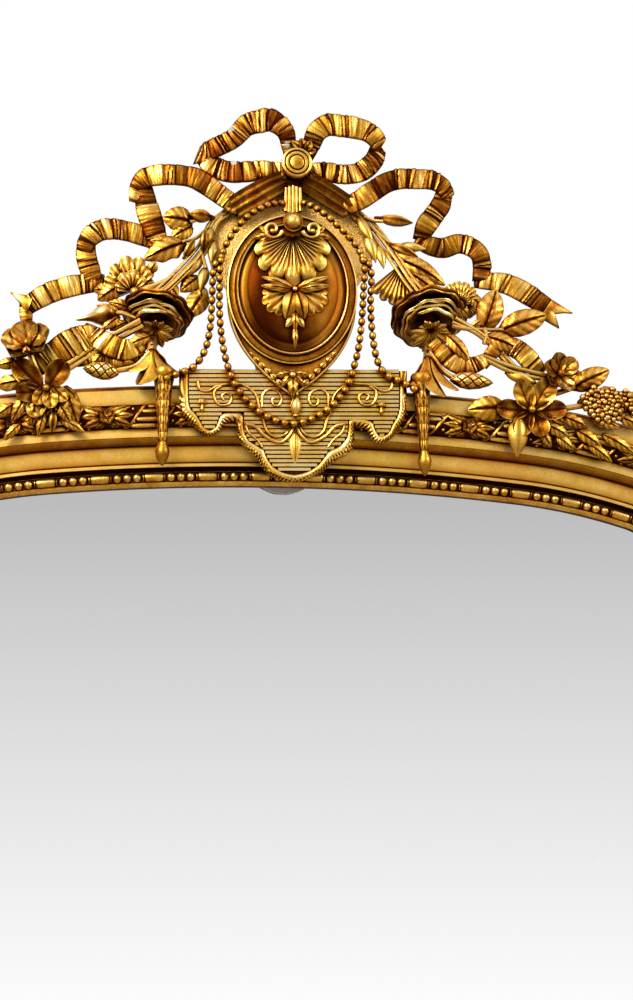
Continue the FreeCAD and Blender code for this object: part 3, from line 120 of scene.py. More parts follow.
def wood_finish(name, pale, dark, stretch):
    """Bare sawn wood: growth rings and pores drawn out along the grain."""
    finish, tree, shader, place = new_finish(name)
    along = put(tree, "ShaderNodeMapping", {"Vector": place, "Scale": stretch}).outputs[0]
    drift = noise(tree, along, 1.0, 3.0)
    rings = put(tree, "ShaderNodeTexWave", {
        "Vector": along, "Scale": 0.5, "Distortion": 9.0, "Detail": 4.0, "Detail Scale": 0.7},
        bands_direction="DIAGONAL").outputs["Fac"]
    pores = noise(tree, along, 9.0, 6.0)
    grain = mixed(tree, (rings, 0.22), (drift, 0.55), (pores, 0.25))
    feed(tree, shader, {
        "Base Color": tones(tree, grain, [(0.2, dark), (0.8, pale)]),
        "Roughness": ranged(tree, pores, 0.62, 0.9), "Normal": bumped(tree, grain, 0.35, 0.0006)})
    return finish


def finish_nodes(finish, *names):
    """The finish on CAD nodes that are shown as they are."""
    for name in names:
        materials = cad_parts[name].data.materials
        materials.clear()
        materials.append(finish)


pine_upright = wood_finish("pine_upright", PINE_PALE, PINE_DARK, (42, 42, 2))
pine_level = wood_finish("pine_level", PINE_PALE, PINE_DARK, (2, 42, 42))
finish_nodes(pine_upright, "carcass_stile_left", "carcass_stile_right", "carcass_dowels")
finish_nodes(pine_level, "carcass_crown", "carcass_haunch_left", "carcass_haunch_right", "carcass_base")

# Front moulding: fillet, frieze, cove, flats and ovolo run in pine, gessoed and oil gilded.
# Six lengths meet in mitres below and butt joints in the arch; toning and painted shade lie dark in the
# quirks.
SIGHT_HALF, FRAME_WIDTH = 0.545, 0.1375
CROWN_HEIGHT, CROWN_RADIUS, CROWN_HALF_SPAN = 1.319, 3.240, 0.324
HAUNCH_RADIUS, CORNER_RADIUS = 0.826, 0.090
# Leaf colours from bright to near black brown; the dark end serves both for toning and for painted shade.
GOLD_TONES = [
    (0.0, (1.0, 0.77, 0.37)), (0.12, (0.93, 0.61, 0.19)), (0.24, (0.80, 0.44, 0.075)),
    (0.42, (0.53, 0.225, 0.020)), (0.62, (0.25, 0.078, 0.005)), (0.85, (0.085, 0.017, 0.001)),
    (1.0, (0.036, 0.005, 0.0005))]
GESSO = (0.52, 0.49, 0.44)


def corner_shade(tree, distance, samples):
    """How far a place lies in a corner or hollow, as a factor, for painting shade there."""
    node = put(tree, "ShaderNodeAmbientOcclusion", {"Distance": distance}, samples=samples)
    return sums(tree, "SUBTRACT", 1.0, node.outputs["AO"])


def gilt_finish(name, rubbed, rough, grain=1.0):
    """Old oil gilding: bright leaf on the high parts, brown toning with painted shade in the hollows, and
    painted shade on undersides and in corners.

    The hollow attribute of each piece says where the carver's tool went in, with painted shade and painted
    highlights added to it, and bare where gesso shows."""
    finish, tree, shader, place = new_finish(name)
    hollow = put(tree, "ShaderNodeAttribute", attribute_name="hollow").outputs["Fac"]
    bare = put(tree, "ShaderNodeAttribute", attribute_name="bare").outputs["Fac"]
    normal = put(tree, "ShaderNodeNewGeometry").outputs["Normal"]
    slope = put(tree, "ShaderNodeSeparateXYZ", {"Vector": normal}).outputs["Z"]
    # Painted shade: undersides are made browner and upward faces brighter, by the slope of the surface.
    under = ranged(tree, slope, 0.34, -0.16, low=-1.0)
    patches = noise(tree, place, 38.0, 5.0, 0.62)
    specks = noise(tree, place, 430.0, 3.0, 0.7)
    laps = put(tree, "ShaderNodeTexVoronoi", {"Vector": place, "Scale": 11.0, "Randomness": 1.0})
    # Toning and painted shade: the hollow attribute and corner occlusion darken recesses and corners; the
    # noise adds random toning and wear.
    toning_and_shade = mixed(tree, (hollow, 0.9), (corner_shade(tree, 0.009, 8), 0.95), (under, 1.0),
                (sums(tree, "SUBTRACT", patches, 0.5), 0.55 * grain),
                (sums(tree, "SUBTRACT", specks, 0.5), 0.5 * grain))
    toning_and_shade = sums(tree, "ADD", toning_and_shade, rubbed)
    leaf = tones(tree, toning_and_shade, GOLD_TONES)
    tint = put(tree, "ShaderNodeMix", {"Factor": 0.1, "A": leaf, "B": laps.outputs["Color"]},
               data_type="RGBA", blend_type="SOFT_LIGHT")
    chip = sums(tree, "MULTIPLY", bare, sums(tree, "ADD", specks, 0.35))
    chip = ranged(tree, chip, 0.0, 1.0, 0.46, 0.56)
    skin = put(tree, "ShaderNodeMix", {"Factor": chip, "A": tint.outputs["Result"], "B": (*GESSO, 1)},
               data_type="RGBA")
    dull = sums(tree, "ADD", sums(tree, "MULTIPLY", toning_and_shade, 0.22), rough)
    dull = sums(tree, "ADD", dull, sums(tree, "MULTIPLY", specks, 0.12))
    relief = sums(tree, "ADD", sums(tree, "MULTIPLY", specks, 0.5), patches)
    feed(tree, shader, {
        "Base Color": skin.outputs["Result"], "Metallic": ranged(tree, chip, 1.0, 0.0),
        "Roughness": dull, "Normal": bumped(tree, relief, 0.32 * grain, 0.0014)})
    return finish


gilt_moulding = gilt_finish("gilt_moulding", rubbed=0.11, rough=0.28, grain=0.5)
gilt_carving = gilt_finish("gilt_carving", rubbed=0.12, rough=0.23)


def heading(angle):
    """The way at an angle from straight up."""
    return np.array([math.sin(angle), math.cos(angle)])


def arch_arcs():
    """Centre and end angles of the right half's arcs: crown, haunch and tight corner."""
    crown_end = math.asin(CROWN_HALF_SPAN / CROWN_RADIUS)
    crown = np.array([0.0, CROWN_HEIGHT - CROWN_RADIUS])
    haunch = crown + (CROWN_RADIUS - HAUNCH_RADIUS) * heading(crown_end)
    haunch_end = math.asin((SIGHT_HALF - CORNER_RADIUS - haunch[0]) / (HAUNCH_RADIUS - CORNER_RADIUS))
    corner = haunch + (HAUNCH_RADIUS - CORNER_RADIUS) * heading(haunch_end)
    return [(crown, CROWN_RADIUS, -crown_end, crown_end), (haunch, HAUNCH_RADIUS, crown_end, haunch_end),
            (corner, CORNER_RADIUS, haunch_end, math.pi / 2)]


CROWN_ARC, HAUNCH_ARC, CORNER_ARC = arch_arcs()
SPRING_HEIGHT = CORNER_ARC[0][1]


def arc_stations(arc, step):
    """Stations round an arc: a point of the sight line and the way outwards from it."""
    centre, radius, start, end = arc
    angles = np.linspace(start, end, max(2, int(abs(end - start) * (radius + FRAME_WIDTH) / step) + 2))
    ways = np.stack([np.sin(angles), np.cos(angles)], 1)
    return [(centre + way * radius, way) for way in ways]


def other_side(stations):
    """The same stations on the other side of the middle."""
    return [(place * (-1, 1), way * (-1, 1)) for place, way in stations]


STEP, LONG_STEP, MITRE_MARGIN = 0.006, 0.03, 0.02


def side_stations(step):
    """Stations down the right side; the last follows the mitre."""
    heights = np.linspace(SPRING_HEIGHT, FRAME_WIDTH + MITRE_MARGIN, int(SPRING_HEIGHT / step))
    stations = [(np.array([SIGHT_HALF, height]), np.array([1.0, 0.0])) for height in heights]
    return stations + [(np.array([SIGHT_HALF, FRAME_WIDTH]), np.array([1.0, -1.0]))]


def base_stations(step):
    """Stations along the base from mitre to mitre."""
    reach = SIGHT_HALF - MITRE_MARGIN
    inner = [(np.array([x, FRAME_WIDTH]), np.array([0.0, -1.0]))
             for x in np.linspace(-reach, reach, int(2 * reach / step))]
    corner = (np.array([SIGHT_HALF, FRAME_WIDTH]), np.array([1.0, -1.0]))
    return other_side([corner]) + inner + [corner]


CROWN_STATIONS = arc_stations(CROWN_ARC, STEP)
HAUNCH_STATIONS = arc_stations(HAUNCH_ARC, STEP) + arc_stations(CORNER_ARC, STEP)[1:]
SIDE_STATIONS = side_stations(LONG_STEP)
BASE_STATIONS = base_stations(LONG_STEP)


def rings_shape(rings, hollows):
    """A closed skin over rings of points, each end stopped with a face."""
    count, size = rings.shape[:2]
    first = np.arange(count - 1)[:, None] * size + np.arange(size)[None, :]
    after = np.arange(count - 1)[:, None] * size + (np.arange(size)[None, :] + 1) % size
    faces = np.stack([first, after, after + size, first + size], -1).reshape(-1, 4).tolist()
    faces += [list(range(size))[::-1], list(range((count - 1) * size, count * size))]
    return rings.reshape(-1, 3), faces, np.broadcast_to(hollows, (count, size)).reshape(-1)


def moulding_run(section, stations):
    """A section of (outwards, forward, hollow) points in millimetres carried through stations."""
    section = np.array(section, float)
    out, front = section[:, 0] / 1000, section[:, 1] / 1000
    rings = np.zeros((len(stations), len(section), 3))
    for ring, (place, way) in zip(rings, stations):
        ring[:, 0], ring[:, 1], ring[:, 2] = place[0] + out * way[0], -front, place[1] + out * way[1]
    return rings_shape(rings, section[None, :, 2])


def rounded(middle, radius, start_deg, end_deg, hollow, count):
    """Points of a round in a section, from one angle to another."""
    angles = [math.radians(angle) for angle in np.linspace(start_deg, end_deg, count)]
    return [(middle[0] + radius[0] * math.cos(angle), middle[1] + radius[1] * math.sin(angle), hollow)
            for angle in angles]


def gathered(shapes):
    """Several shapes carved from one block as one set of points, faces and hollows."""
    points, faces, hollows, start = [], [], [], 0
    for shape_points, shape_faces, shape_hollows in shapes:
        points.append(shape_points)
        hollows.append(shape_hollows)
        faces += [[corner + start for corner in face] for face in shape_faces]
        start += len(shape_points)
    return np.concatenate(points), faces, np.concatenate(hollows)


def note(mesh, name, values):
    """A value at each point of a mesh, for its finish to read."""
    mesh.attributes.new(name, "FLOAT", "POINT").data.foreach_set("value", values.astype(np.float32))


def carved_mesh(name, shapes, finish, crease_deg=38, chips=(), raw_behind=None):
    """A mesh of shapes, faces outwards and creases sharp, its hollows with their painted shade and
    highlights, chips and raw back noted.
    """
    points, faces, hollows = gathered(shapes)
    mesh = bpy.data.meshes.new(name)
    mesh.from_pydata(points.tolist(), [], faces)
    note(mesh, "hollow", hollows)
    if chips:
        note(mesh, "bare", np.max([np.clip(1.15 - np.linalg.norm(points - place, axis=1) / size, 0, 1)
                                   for place, size in chips], axis=0))
    if raw_behind:
        note(mesh, "bare", (points[:, 1] > -raw_behind[0] / 1000) & (points[:, 2] < raw_behind[1]))
    skin = bmesh.new()
    skin.from_mesh(mesh)
    bmesh.ops.recalc_face_normals(skin, faces=skin.faces)
    skin.to_mesh(mesh)
    skin.free()
    mesh.polygons.foreach_set("use_smooth", [True] * len(mesh.polygons))
    mesh.set_sharp_from_angle(angle=math.radians(crease_deg))
    mesh.materials.append(finish)
    return mesh


def shown(name, mesh, *nodes, slot="gilt_wood"):
    """The mesh as a piece of the mirror, standing for its CAD nodes."""
    piece = bpy.data.objects.new(name, mesh)
    bpy.context.scene.collection.objects.link(piece)
    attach(piece, "mirror")
    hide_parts(*nodes)
    return piece


def carve(name, shapes, node, crease_deg=38, finish=gilt_carving, slot="gilt_wood", **marks):
    """Shapes carved as one piece in place of its CAD node."""
    shown(name, carved_mesh(name, shapes, finish, crease_deg, **marks), node, slot=slot)


# Third number of each point: toning and painted shade in the quirks and the cove, darkest where the profile
# turns away.
MOULDING_SECTION = (
    [(25.5, 30, 1.0), (25.5, 46.5, 0.9), (25.5, 48.6, 0.2), (25.9, 49, 0.0), (29.6, 49, 0.0),
     (30, 48.6, 0.2), (30, 46.3, 1.0), (31.2, 46.15, 0.75), (33, 46.4, 0.1), (42, 47.4, 0.0),
     (52, 48.6, 0.02), (54, 48.9, 0.3), (55, 49.0, 0.85)]
    + rounded((66.0, 50.2), (10.6, 11.2), 180, 94, 0.26, 8)
    + [(65.2, 62, 0.15), (66.5, 62, 0.0), (76.5, 62, 0.0), (77.6, 61.8, 0.4), (78, 61.2, 0.8), (78, 54, 1.0),
       (109, 54, 1.0), (109, 63.0, 0.9), (109.5, 63.9, 0.35), (110.6, 64, 0.0), (129.6, 64, 0.0)]
    + rounded((130.4, 52.4), (7.1, 11.6), 88, 0, 0.58, 8)
    + [(137.5, 50, 0.85), (137.5, 30.2, 0.95), (137.3, 30, 1.0)])
MOULDING_RUNS = {
    "moulding_crown": CROWN_STATIONS, "moulding_haunch_right": HAUNCH_STATIONS,
    "moulding_haunch_left": other_side(HAUNCH_STATIONS), "moulding_stile_right": SIDE_STATIONS,
    "moulding_stile_left": other_side(SIDE_STATIONS), "moulding_base": BASE_STATIONS,
}
for node, stations in MOULDING_RUNS.items():
    carve(node + "_gilt", [moulding_run(MOULDING_SECTION, stations)], node, 28, gilt_moulding)

# Inner slip: a thin lip round the plate with beads and reels cut in its astragal.
# Turned shapes cast in composition and set end to end in the slip's hollow, then gilded.
# Third number of each point: painted shade in the quirks and in the beads' channel.
SLIP_SECTION = [
    (0, 30, 1.0), (0, 35.2, 0.5), (0.5, 36.0, 0.1), (1.6, 36.6, 0.0), (5.8, 38.2, 0.0), (6.8, 38.2, 0.25),
    (7.4, 37.4, 0.4), (8.6, 36.8, 0.15), (13.5, 36.4, 0.15), (18.4, 36.8, 0.15), (19.6, 37.6, 0.3),
    (20, 38.0, 0.1), (20.6, 38.0, 0.1), (20.8, 36.2, 0.9), (21.5, 35.4, 0.5), (25.5, 35, 0.9),
    (25.5, 30, 1.0)]
BEAD_LINE, BEAD_FRONT = 0.0135, 0.0388
BEAD_RADIUS, REEL_HALF_LENGTH, REEL_RADIUS = 0.0064, 0.0161, 0.0061
PATTERN_PITCH = 0.0713
BEADS_IN_PATTERN = [("reel", 0.0)] + [("bead", along / PATTERN_PITCH) for along in (0.0227, 0.0357, 0.0487)]


def turned(start, end, outline, sides, flute=0.0, flutes=0, hollow=0.0, hollows=None):
    """A turned shape along an axis: rows of length share and radius, its sides fluted."""
    start, end = np.array(start, float), np.array(end, float)
    way = (end - start) / np.linalg.norm(end - start)
    side = np.cross(way, (0.0, -1.0, 0.0) if abs(way[1]) < 0.9 else (0.0, 0.0, 1.0))
    side /= np.linalg.norm(side)
    face = np.cross(side, way)
    turns = np.linspace(0, 2 * math.pi, sides, endpoint=False)
    wave = 1 - flute * (0.5 + 0.5 * np.cos(flutes * turns)) if flutes else np.ones(sides)
    spokes = np.cos(turns)[:, None] * side + np.sin(turns)[:, None] * face
    rings = np.array([start + (end - start) * along + spokes * (wave * radius)[:, None]
                      for along, radius in outline])
    marks = np.full((len(outline), sides), hollow, float)
    if hollows is not None:
        marks += np.array(hollows)[:, None]
    # Painted shade in the flutes' valleys.
    if flutes:
        marks = marks + 0.75 * (0.5 + 0.5 * np.cos(flutes * turns))[None, :]
    return rings_shape(rings, marks)


def bead_outline(radius, count):
    """The outline of a ball between its poles."""
    angles = np.linspace(0.06, math.pi - 0.06, count)
    return [(0.5 - 0.5 * math.cos(a), radius * math.sin(a)) for a in angles]


MOTIF_SIZE = 1.0


def set_out_tree(name, motif_names, finish):
    """A tree that sets motifs out on a piece's marked points and leaves the rest as it is."""
    tree = bpy.data.node_groups.new(name, "GeometryNodeTree")
    tree.interface.new_socket("Geometry", in_out="INPUT", socket_type="NodeSocketGeometry")
    size = tree.interface.new_socket("Motif size", in_out="INPUT", socket_type="NodeSocketFloat")
    size.default_value = MOTIF_SIZE
    for motif in motif_names:
        tree.interface.new_socket(motif, in_out="INPUT", socket_type="NodeSocketObject")
    tree.interface.new_socket("Geometry", in_out="OUTPUT", socket_type="NodeSocketGeometry")
    given = tree.nodes.new("NodeGroupInput")
    kind = put(tree, "GeometryNodeInputNamedAttribute", {"Name": "kind"}, data_type="INT")
    kind = kind.outputs["Attribute"]
    turn = put(tree, "GeometryNodeInputNamedAttribute", {"Name": "turn"}, data_type="FLOAT_VECTOR")
    turn = put(tree, "FunctionNodeEulerToRotation", {"Euler": turn.outputs["Attribute"]}).outputs["Rotation"]
    together = tree.nodes.new("GeometryNodeJoinGeometry")

    def of_kind(number):
        same = put(tree, "FunctionNodeCompare", {2: kind, 3: number}, data_type="INT", operation="EQUAL")
        return put(tree, "GeometryNodeSeparateGeometry", {
            "Geometry": given.outputs["Geometry"], "Selection": same.outputs["Result"]}).outputs["Selection"]

    tree.links.new(of_kind(0), together.inputs["Geometry"])
    for number, motif in enumerate(motif_names, 1):
        shape = put(tree, "GeometryNodeObjectInfo", {"Object": given.outputs[motif]})
        planted = put(tree, "GeometryNodeInstanceOnPoints", {
            "Points": of_kind(number), "Instance": shape.outputs["Geometry"], "Rotation": turn,
            "Scale": given.outputs["Motif size"]})
        tree.links.new(planted.outputs["Instances"], together.inputs["Geometry"])
    real = put(tree, "GeometryNodeRealizeInstances", {"Geometry": together.outputs["Geometry"]})
    coated = put(tree, "GeometryNodeSetMaterial", {"Geometry": real.outputs["Geometry"], "Material": finish})
    result = tree.nodes.new("NodeGroupOutput")
    tree.links.new(coated.outputs["Geometry"], result.inputs["Geometry"])
    return tree


def turn_angles(along, across, ahead):
    """The turn, as three angles, that takes a motif's own axes to these three ways."""
    pitch = -math.asin(max(-1.0, min(1.0, along[2])))
    if abs(along[2]) < 0.99999:
        return math.atan2(across[2], ahead[2]), pitch, math.atan2(along[1], along[0])
    return math.atan2(-ahead[1], across[1]), pitch, 0.0


def set_out(name, shapes, marks, motifs, finish, crease_deg=38):
    """A mesh of ground shapes with motifs set out on marks of (kind, place, along, outwards)."""
    ground = carved_mesh(name + "_ground", shapes, finish, crease_deg)
    before = len(ground.vertices)
    ground.vertices.add(len(marks))
    kinds = np.zeros(before + len(marks), np.int32)
    turns = np.zeros((before + len(marks), 3), np.float32)
    names = list(motifs)
    for index, (kind, place, along, outwards) in enumerate(marks, before):
        ground.vertices[index].co = place
        along = np.array(along, float) / np.linalg.norm(along)
        ahead = np.cross(along, outwards)
        ahead /= np.linalg.norm(ahead)
        kinds[index] = names.index(kind) + 1
        turns[index] = turn_angles(along, np.cross(ahead, along), ahead)
    ground.attributes.new("kind", "INT", "POINT").data.foreach_set("value", kinds)
    ground.attributes.new("turn", "FLOAT_VECTOR", "POINT").data.foreach_set("vector", turns.ravel())
    holder = bpy.data.objects.new(name + "_holder", ground)
    bpy.context.scene.collection.objects.link(holder)
    tree = set_out_tree(name + "_setting_out", names, finish)
    modifier = holder.modifiers.new("Setting out", "NODES")
    modifier.node_group = tree
    samples = {motif: bpy.data.objects.new(motif, mesh) for motif, mesh in motifs.items()}
    inputs = {"Motif size": MOTIF_SIZE, **samples}
    for item in tree.interface.items_tree:
        if item.in_out == "INPUT" and item.name in inputs:
            modifier[item.identifier] = inputs[item.name]
    view = bpy.context.evaluated_depsgraph_get()
    mesh = bpy.data.meshes.new_from_object(holder.evaluated_get(view), depsgraph=view)
    mesh.name = name
    for leftover in [holder, *samples.values()]:
        bpy.data.objects.remove(leftover)
    return mesh


def run_lengths(points):
    """How far along a line each of its points lies."""
    return np.concatenate([[0], np.cumsum(np.linalg.norm(np.diff(points, axis=0), axis=1))])


END_MARGIN = 0.001


def line_marks(stations, out, front, pattern, pitch):
    """Marks along a line that keeps its place in the section, from a pattern of (kind, share of a repeat)."""
    points = np.array([place + way * out for place, way in stations])
    ways = np.array([way / np.linalg.norm(way) for _, way in stations])
    reach = run_lengths(points)
    total = reach[-1]
    repeats = max(1, round(total / pitch))
    pitch = total / repeats
    marks = []
    for repeat in range(repeats):
        for kind, share in pattern:
            here = (repeat + share) * pitch
            if here > total - END_MARGIN:
                continue
            place = [np.interp(here, reach, points[:, axis]) for axis in (0, 1)]
            way = np.array([np.interp(here, reach, ways[:, axis]) for axis in (0, 1)])
            way /= np.linalg.norm(way)
            marks.append((kind, (place[0], -front, place[1]), (way[1], 0, -way[0]), (way[0], 0, way[1])))
    return marks


bead_shape = carved_mesh("bead", [turned((-BEAD_RADIUS, 0, 0), (BEAD_RADIUS, 0, 0),
                                         bead_outline(BEAD_RADIUS, 7), 10)], gilt_carving)
REEL_OUTLINE = [
    (0.0, 0.25), (0.01, 0.6), (0.035, 0.84), (0.06, 0.86), (0.075, 0.74), (0.095, 0.78), (0.13, 0.95),
    (0.2, 1.0), (0.5, 1.02), (0.8, 1.0), (0.87, 0.95), (0.905, 0.78), (0.925, 0.74), (0.94, 0.86),
    (0.965, 0.84), (0.99, 0.6), (1.0, 0.25)]
# Painted shade in the reel's grooves and at its ends.
REEL_HOLLOWS = [0.6, 0.3, 0.1, 0.2, 0.8, 0.7, 0.2, 0, 0, 0, 0.2, 0.7, 0.8, 0.2, 0.1, 0.3, 0.6]
reel_shape = carved_mesh("reel", [turned(
    (-REEL_HALF_LENGTH, 0, 0), (REEL_HALF_LENGTH, 0, 0),
    [(along, share * REEL_RADIUS) for along, share in REEL_OUTLINE], 10, hollows=REEL_HOLLOWS)], gilt_carving)
TOP_STATIONS = other_side(HAUNCH_STATIONS)[::-1] + CROWN_STATIONS[1:-1] + HAUNCH_STATIONS
SLIP_RUNS = {
    "slip_top": TOP_STATIONS, "slip_right": SIDE_STATIONS, "slip_left": other_side(SIDE_STATIONS),
    "slip_base": BASE_STATIONS,
}
for node, stations in SLIP_RUNS.items():
    marks = line_marks(stations, BEAD_LINE, BEAD_FRONT, BEADS_IN_PATTERN, PATTERN_PITCH)
    shown(node + "_beaded", set_out(
        node + "_beaded", [moulding_run(SLIP_SECTION, stations)], marks,
        {"bead": bead_shape, "reel": reel_shape}, gilt_carving, 28), node)

# Carved torus: a half round let into the moulding's channel, cut with bundles of reeds bound by ribbon
# and, between them, open flowers with leaves and berries. Four lengths, mitred below.
TORUS_GROUND = 0.0106
TORUS_LINE, TORUS_MIDDLE_FRONT = 0.0935, 0.0628
# The torus ground behind the carving and its sides are in painted shade.
TORUS_SECTION = ([(78.3, 54, 1.0), (78.3, 61.0, 1.0)]
                 + rounded((93.5, 62.0), (14.2, 11.4), 180, 0, 0.8, 11)
                 + [(108.7, 61.0, 1.0), (108.7, 54, 1.0)])
TORUS_PITCH = 0.1235


def smooth_line(points, step):
    """Points close together on a smooth line through given rows, carrying their extra columns along."""
    rows = np.array(points, float)
    padded = np.concatenate([[2 * rows[0] - rows[1]], rows, [2 * rows[-1] - rows[-2]]])
    line = []
    for index in range(len(rows) - 1):
        a, b, c, d = padded[index:index + 4]
        count = max(2, int(np.linalg.norm((c - b)[:3]) / step))
        for t in np.linspace(0, 1, count, endpoint=False):
            line.append(0.5 * (2 * b + (c - a) * t + (2 * a - 5 * b + 4 * c - d) * t ** 2
                               + (3 * b - a - 3 * c + d) * t ** 3))
    return np.array(line + [rows[-1]])


def unit(vectors):
    """Vectors of length one."""
    return vectors / np.maximum(np.linalg.norm(vectors, axis=-1, keepdims=True), 1e-12)


FORWARD = np.array([0.0, -1.0, 0.0])


def stalk(points, radii, sides=10, hollow=0.0, step=0.004, facing=FORWARD):
    """A round stalk along a smooth line, its radius changing from row to row, with painted shade on its back.
    """
    rows = np.column_stack([np.array(points, float), np.broadcast_to(radii, len(points))])
    line = smooth_line(rows, step)
    ways = unit(np.gradient(line[:, :3], axis=0))
    side = unit(np.cross(ways, facing))
    face = np.cross(side, ways)
    turns = np.linspace(0, 2 * math.pi, sides, endpoint=False)
    spokes = np.cos(turns)[None, :, None] * side[:, None] + np.sin(turns)[None, :, None] * face[:, None]
    rings = line[:, None, :3] + line[:, None, 3:] * spokes
    return rings_shape(rings, (hollow + 0.35 * (np.sin(turns) < -0.3))[None, :])


def blade(base, tip, width, facing=FORWARD, arch=0.1, cup=0.2, veins=5, rib=0.1, thick=0.0025, peak=0.75,
          blunt=0.85, notch=0.0, notches=0, curl=0.0, along=18, across=11, dark=0.0, middle=0.75, rim=0.4):
    """A leaf or petal: ribbed down its middle, veined, arched along its length and cupped across it."""
    base, tip = np.array(base, float), np.array(tip, float)
    length = np.linalg.norm(tip - base)
    way = (tip - base) / length
    side = unit(np.cross(way, np.array(facing, float)))
    face = np.cross(side, way)
    u = np.linspace(0.0, 1.0, along)[:, None]
    v = np.linspace(-1.0, 1.0, across)[None, :]
    outline = np.clip(np.sin(math.pi * np.clip(u, 0.025, 0.985) ** peak), 0, 1) ** blunt
    if notches:
        outline = outline * (1 - notch * (0.5 - 0.5 * np.cos(2 * math.pi * notches * u)))
    half = width / 2 * np.maximum(outline, 0.06)
    vein = np.cos(2 * math.pi * veins * (u - 0.22 * np.abs(v)))
    rise = (arch * length * np.sin(math.pi * u) - cup * half * v ** 2 + curl * length * u ** 3
            + rib * half * (np.exp(-(v / 0.42) ** 2) - 1.5 * np.exp(-(v / 0.13) ** 2))
            + 0.06 * half * vein * np.abs(v) * (veins > 0))
    front = base + way * (length * u)[..., None] + side * (half * v)[..., None] + face * rise[..., None]
    under = front[:, 1:-1][:, ::-1] - face * (thick * (1 - 0.5 * v[:, 1:-1][:, ::-1] ** 2))[..., None]
    # Painted shade down the midrib, in the veins, at the foot and along the edges (a negative rim paints
    # bright edges instead); dark darkens the whole blade, or below nought paints it lighter.
    hollow = (middle * np.exp(-(v / 0.14) ** 2) + 0.3 * (0.5 - 0.5 * vein) * (veins > 0)
              + 0.7 * np.exp(-u / 0.1) + rim * np.abs(v) ** 8 + dark)
    hollow = np.clip(hollow, 0, 1.2)
    # The underside is in painted shade.
    return rings_shape(np.concatenate([front, under], 1),
                       np.concatenate([hollow, np.full((along, across - 2), 0.8)], 1))


def ball(middle, radius, facing=FORWARD, sides=12, hollow=0.0):
    """A berry, bead or boss, with painted shade at its foot."""
    way = np.array(facing, float) / np.linalg.norm(facing) * radius
    count = max(6, sides // 2 + 1)
    return turned(np.array(middle) - way, np.array(middle) + way, bead_outline(radius, count), sides,
                  hollow=hollow, hollows=np.linspace(0.9, 0.0, count) ** 2)


def bloom(middle, facing, radius, petals, cup=0.35, lift=0.25, heart=0.26, stamens=7, dark=0.0,
          first=0.0, above=(0, 0, 1), fine=1):
    """An open flower: cupped petals round a heart of small seeds."""
    facing = unit(np.array(facing, float))
    across = unit(np.cross(facing, np.array(above, float)))
    up = np.cross(across, facing)
    middle = np.array(middle, float)
    shapes = []
    for index in range(petals):
        turn = 2 * math.pi * (index + first) / petals
        out = across * math.sin(turn) + up * math.cos(turn)
        lean = facing * (0.03 * radius * (index % 2))
        # Petals get painted bright edges and their dark shift; the heart is in painted shade.
        shapes.append(blade(
            middle + out * radius * 0.06 - facing * radius * 0.16 + lean,
            middle + out * radius + facing * radius * lift + lean, radius * 5.4 / petals,
            facing, arch=-0.14, cup=-cup, veins=3 * (fine > 1), rib=0.05, thick=0.055 * radius, peak=1.35,
            blunt=0.5, along=6 + 5 * fine, across=5 + 4 * fine, dark=dark, middle=0.35, rim=-0.25))
    shapes.append(ball(middle + facing * radius * 0.02, radius * heart, facing, 8 + 4 * fine, 0.3))
    for index in range(stamens):
        turn = 2 * math.pi * index / stamens
        out = across * math.sin(turn) + up * math.cos(turn)
        seed = middle + out * radius * heart * 0.95 + facing * radius * 0.12
        shapes.append(ball(seed, radius * 0.085, facing, 6))
    return shapes


def on_torus(u, angle, height):
    """A place on the torus in its own axes: along it, round it, and out from its ground."""
    reach = TORUS_GROUND + height
    return np.array([u, reach * math.sin(angle) * 1.25, reach * math.cos(angle)])


def reed_bundle():
    """Four reeds side by side with slanting ends, bound by a ribbon at each end."""
    shapes = []
    for angle in (-1.12, -0.38, 0.38, 1.12):
        shift = 0.011 * angle
        ends = [on_torus(s * 0.0185 + shift, angle, 0.0008) for s in (-1, -0.85, 0, 0.85, 1)]
        shapes.append(stalk(ends, [0.0012, 0.0030, 0.0034, 0.0030, 0.0012], 8, hollow=0.02, step=0.006,
                            facing=(0, math.sin(angle), math.cos(angle))))
    for end in (-1, 1):
        angles = np.linspace(-1.45, 1.45, 9)
        points = [on_torus(end * 0.0212 + 0.011 * a, a, 0.0014) for a in angles]
        shapes.append(stalk(points, 0.0021, 6, hollow=0.1, step=0.008, facing=(1, 0, 0)))
    return shapes


def torus_foliage():
    """An open flower between leaves that run both ways along the torus, with berries in the gaps."""
    out = (0, 0, 1)
    shapes = bloom(on_torus(0, 0, 0.0012), out, 0.0105, 5, cup=0.5, lift=0.12, stamens=5, above=(1, 0, 0))
    for end in (-1, 1):
        for side in (-1, 1):
            start, tip = on_torus(end * 0.006, side * 0.25, 0.0), on_torus(end * 0.033, side * 0.95, 0.0018)
            shapes.append(blade(start, tip, 0.0135, (0, side * 0.55, 1), arch=0.14, cup=0.35, veins=4,
                                thick=0.0022, notch=0.25, notches=3, along=12, across=7, curl=0.04))
            start, tip = on_torus(end * 0.002, side * 0.7, 0.0), on_torus(end * 0.017, side * 1.42, 0.001)
            shapes.append(blade(start, tip, 0.009, (0, side * 0.9, 0.7), arch=0.12, cup=0.3, veins=3,
                                thick=0.002, along=9, across=7))
            shapes.append(ball(on_torus(end * 0.0245, side * 1.38, 0.0006), 0.0028, (0, side, 0.5), 6))
        start, tip = on_torus(end * 0.011, 0, 0.0), on_torus(end * 0.036, 0, 0.0022)
        shapes.append(blade(start, tip, 0.010, out, arch=0.13, cup=0.3, veins=4, thick=0.0022,
                            along=11, across=7))
        for angle in (0.62, -0.62):
            shapes.append(ball(on_torus(end * 0.036, angle, 0.001), 0.0026, out, 6))
    return shapes


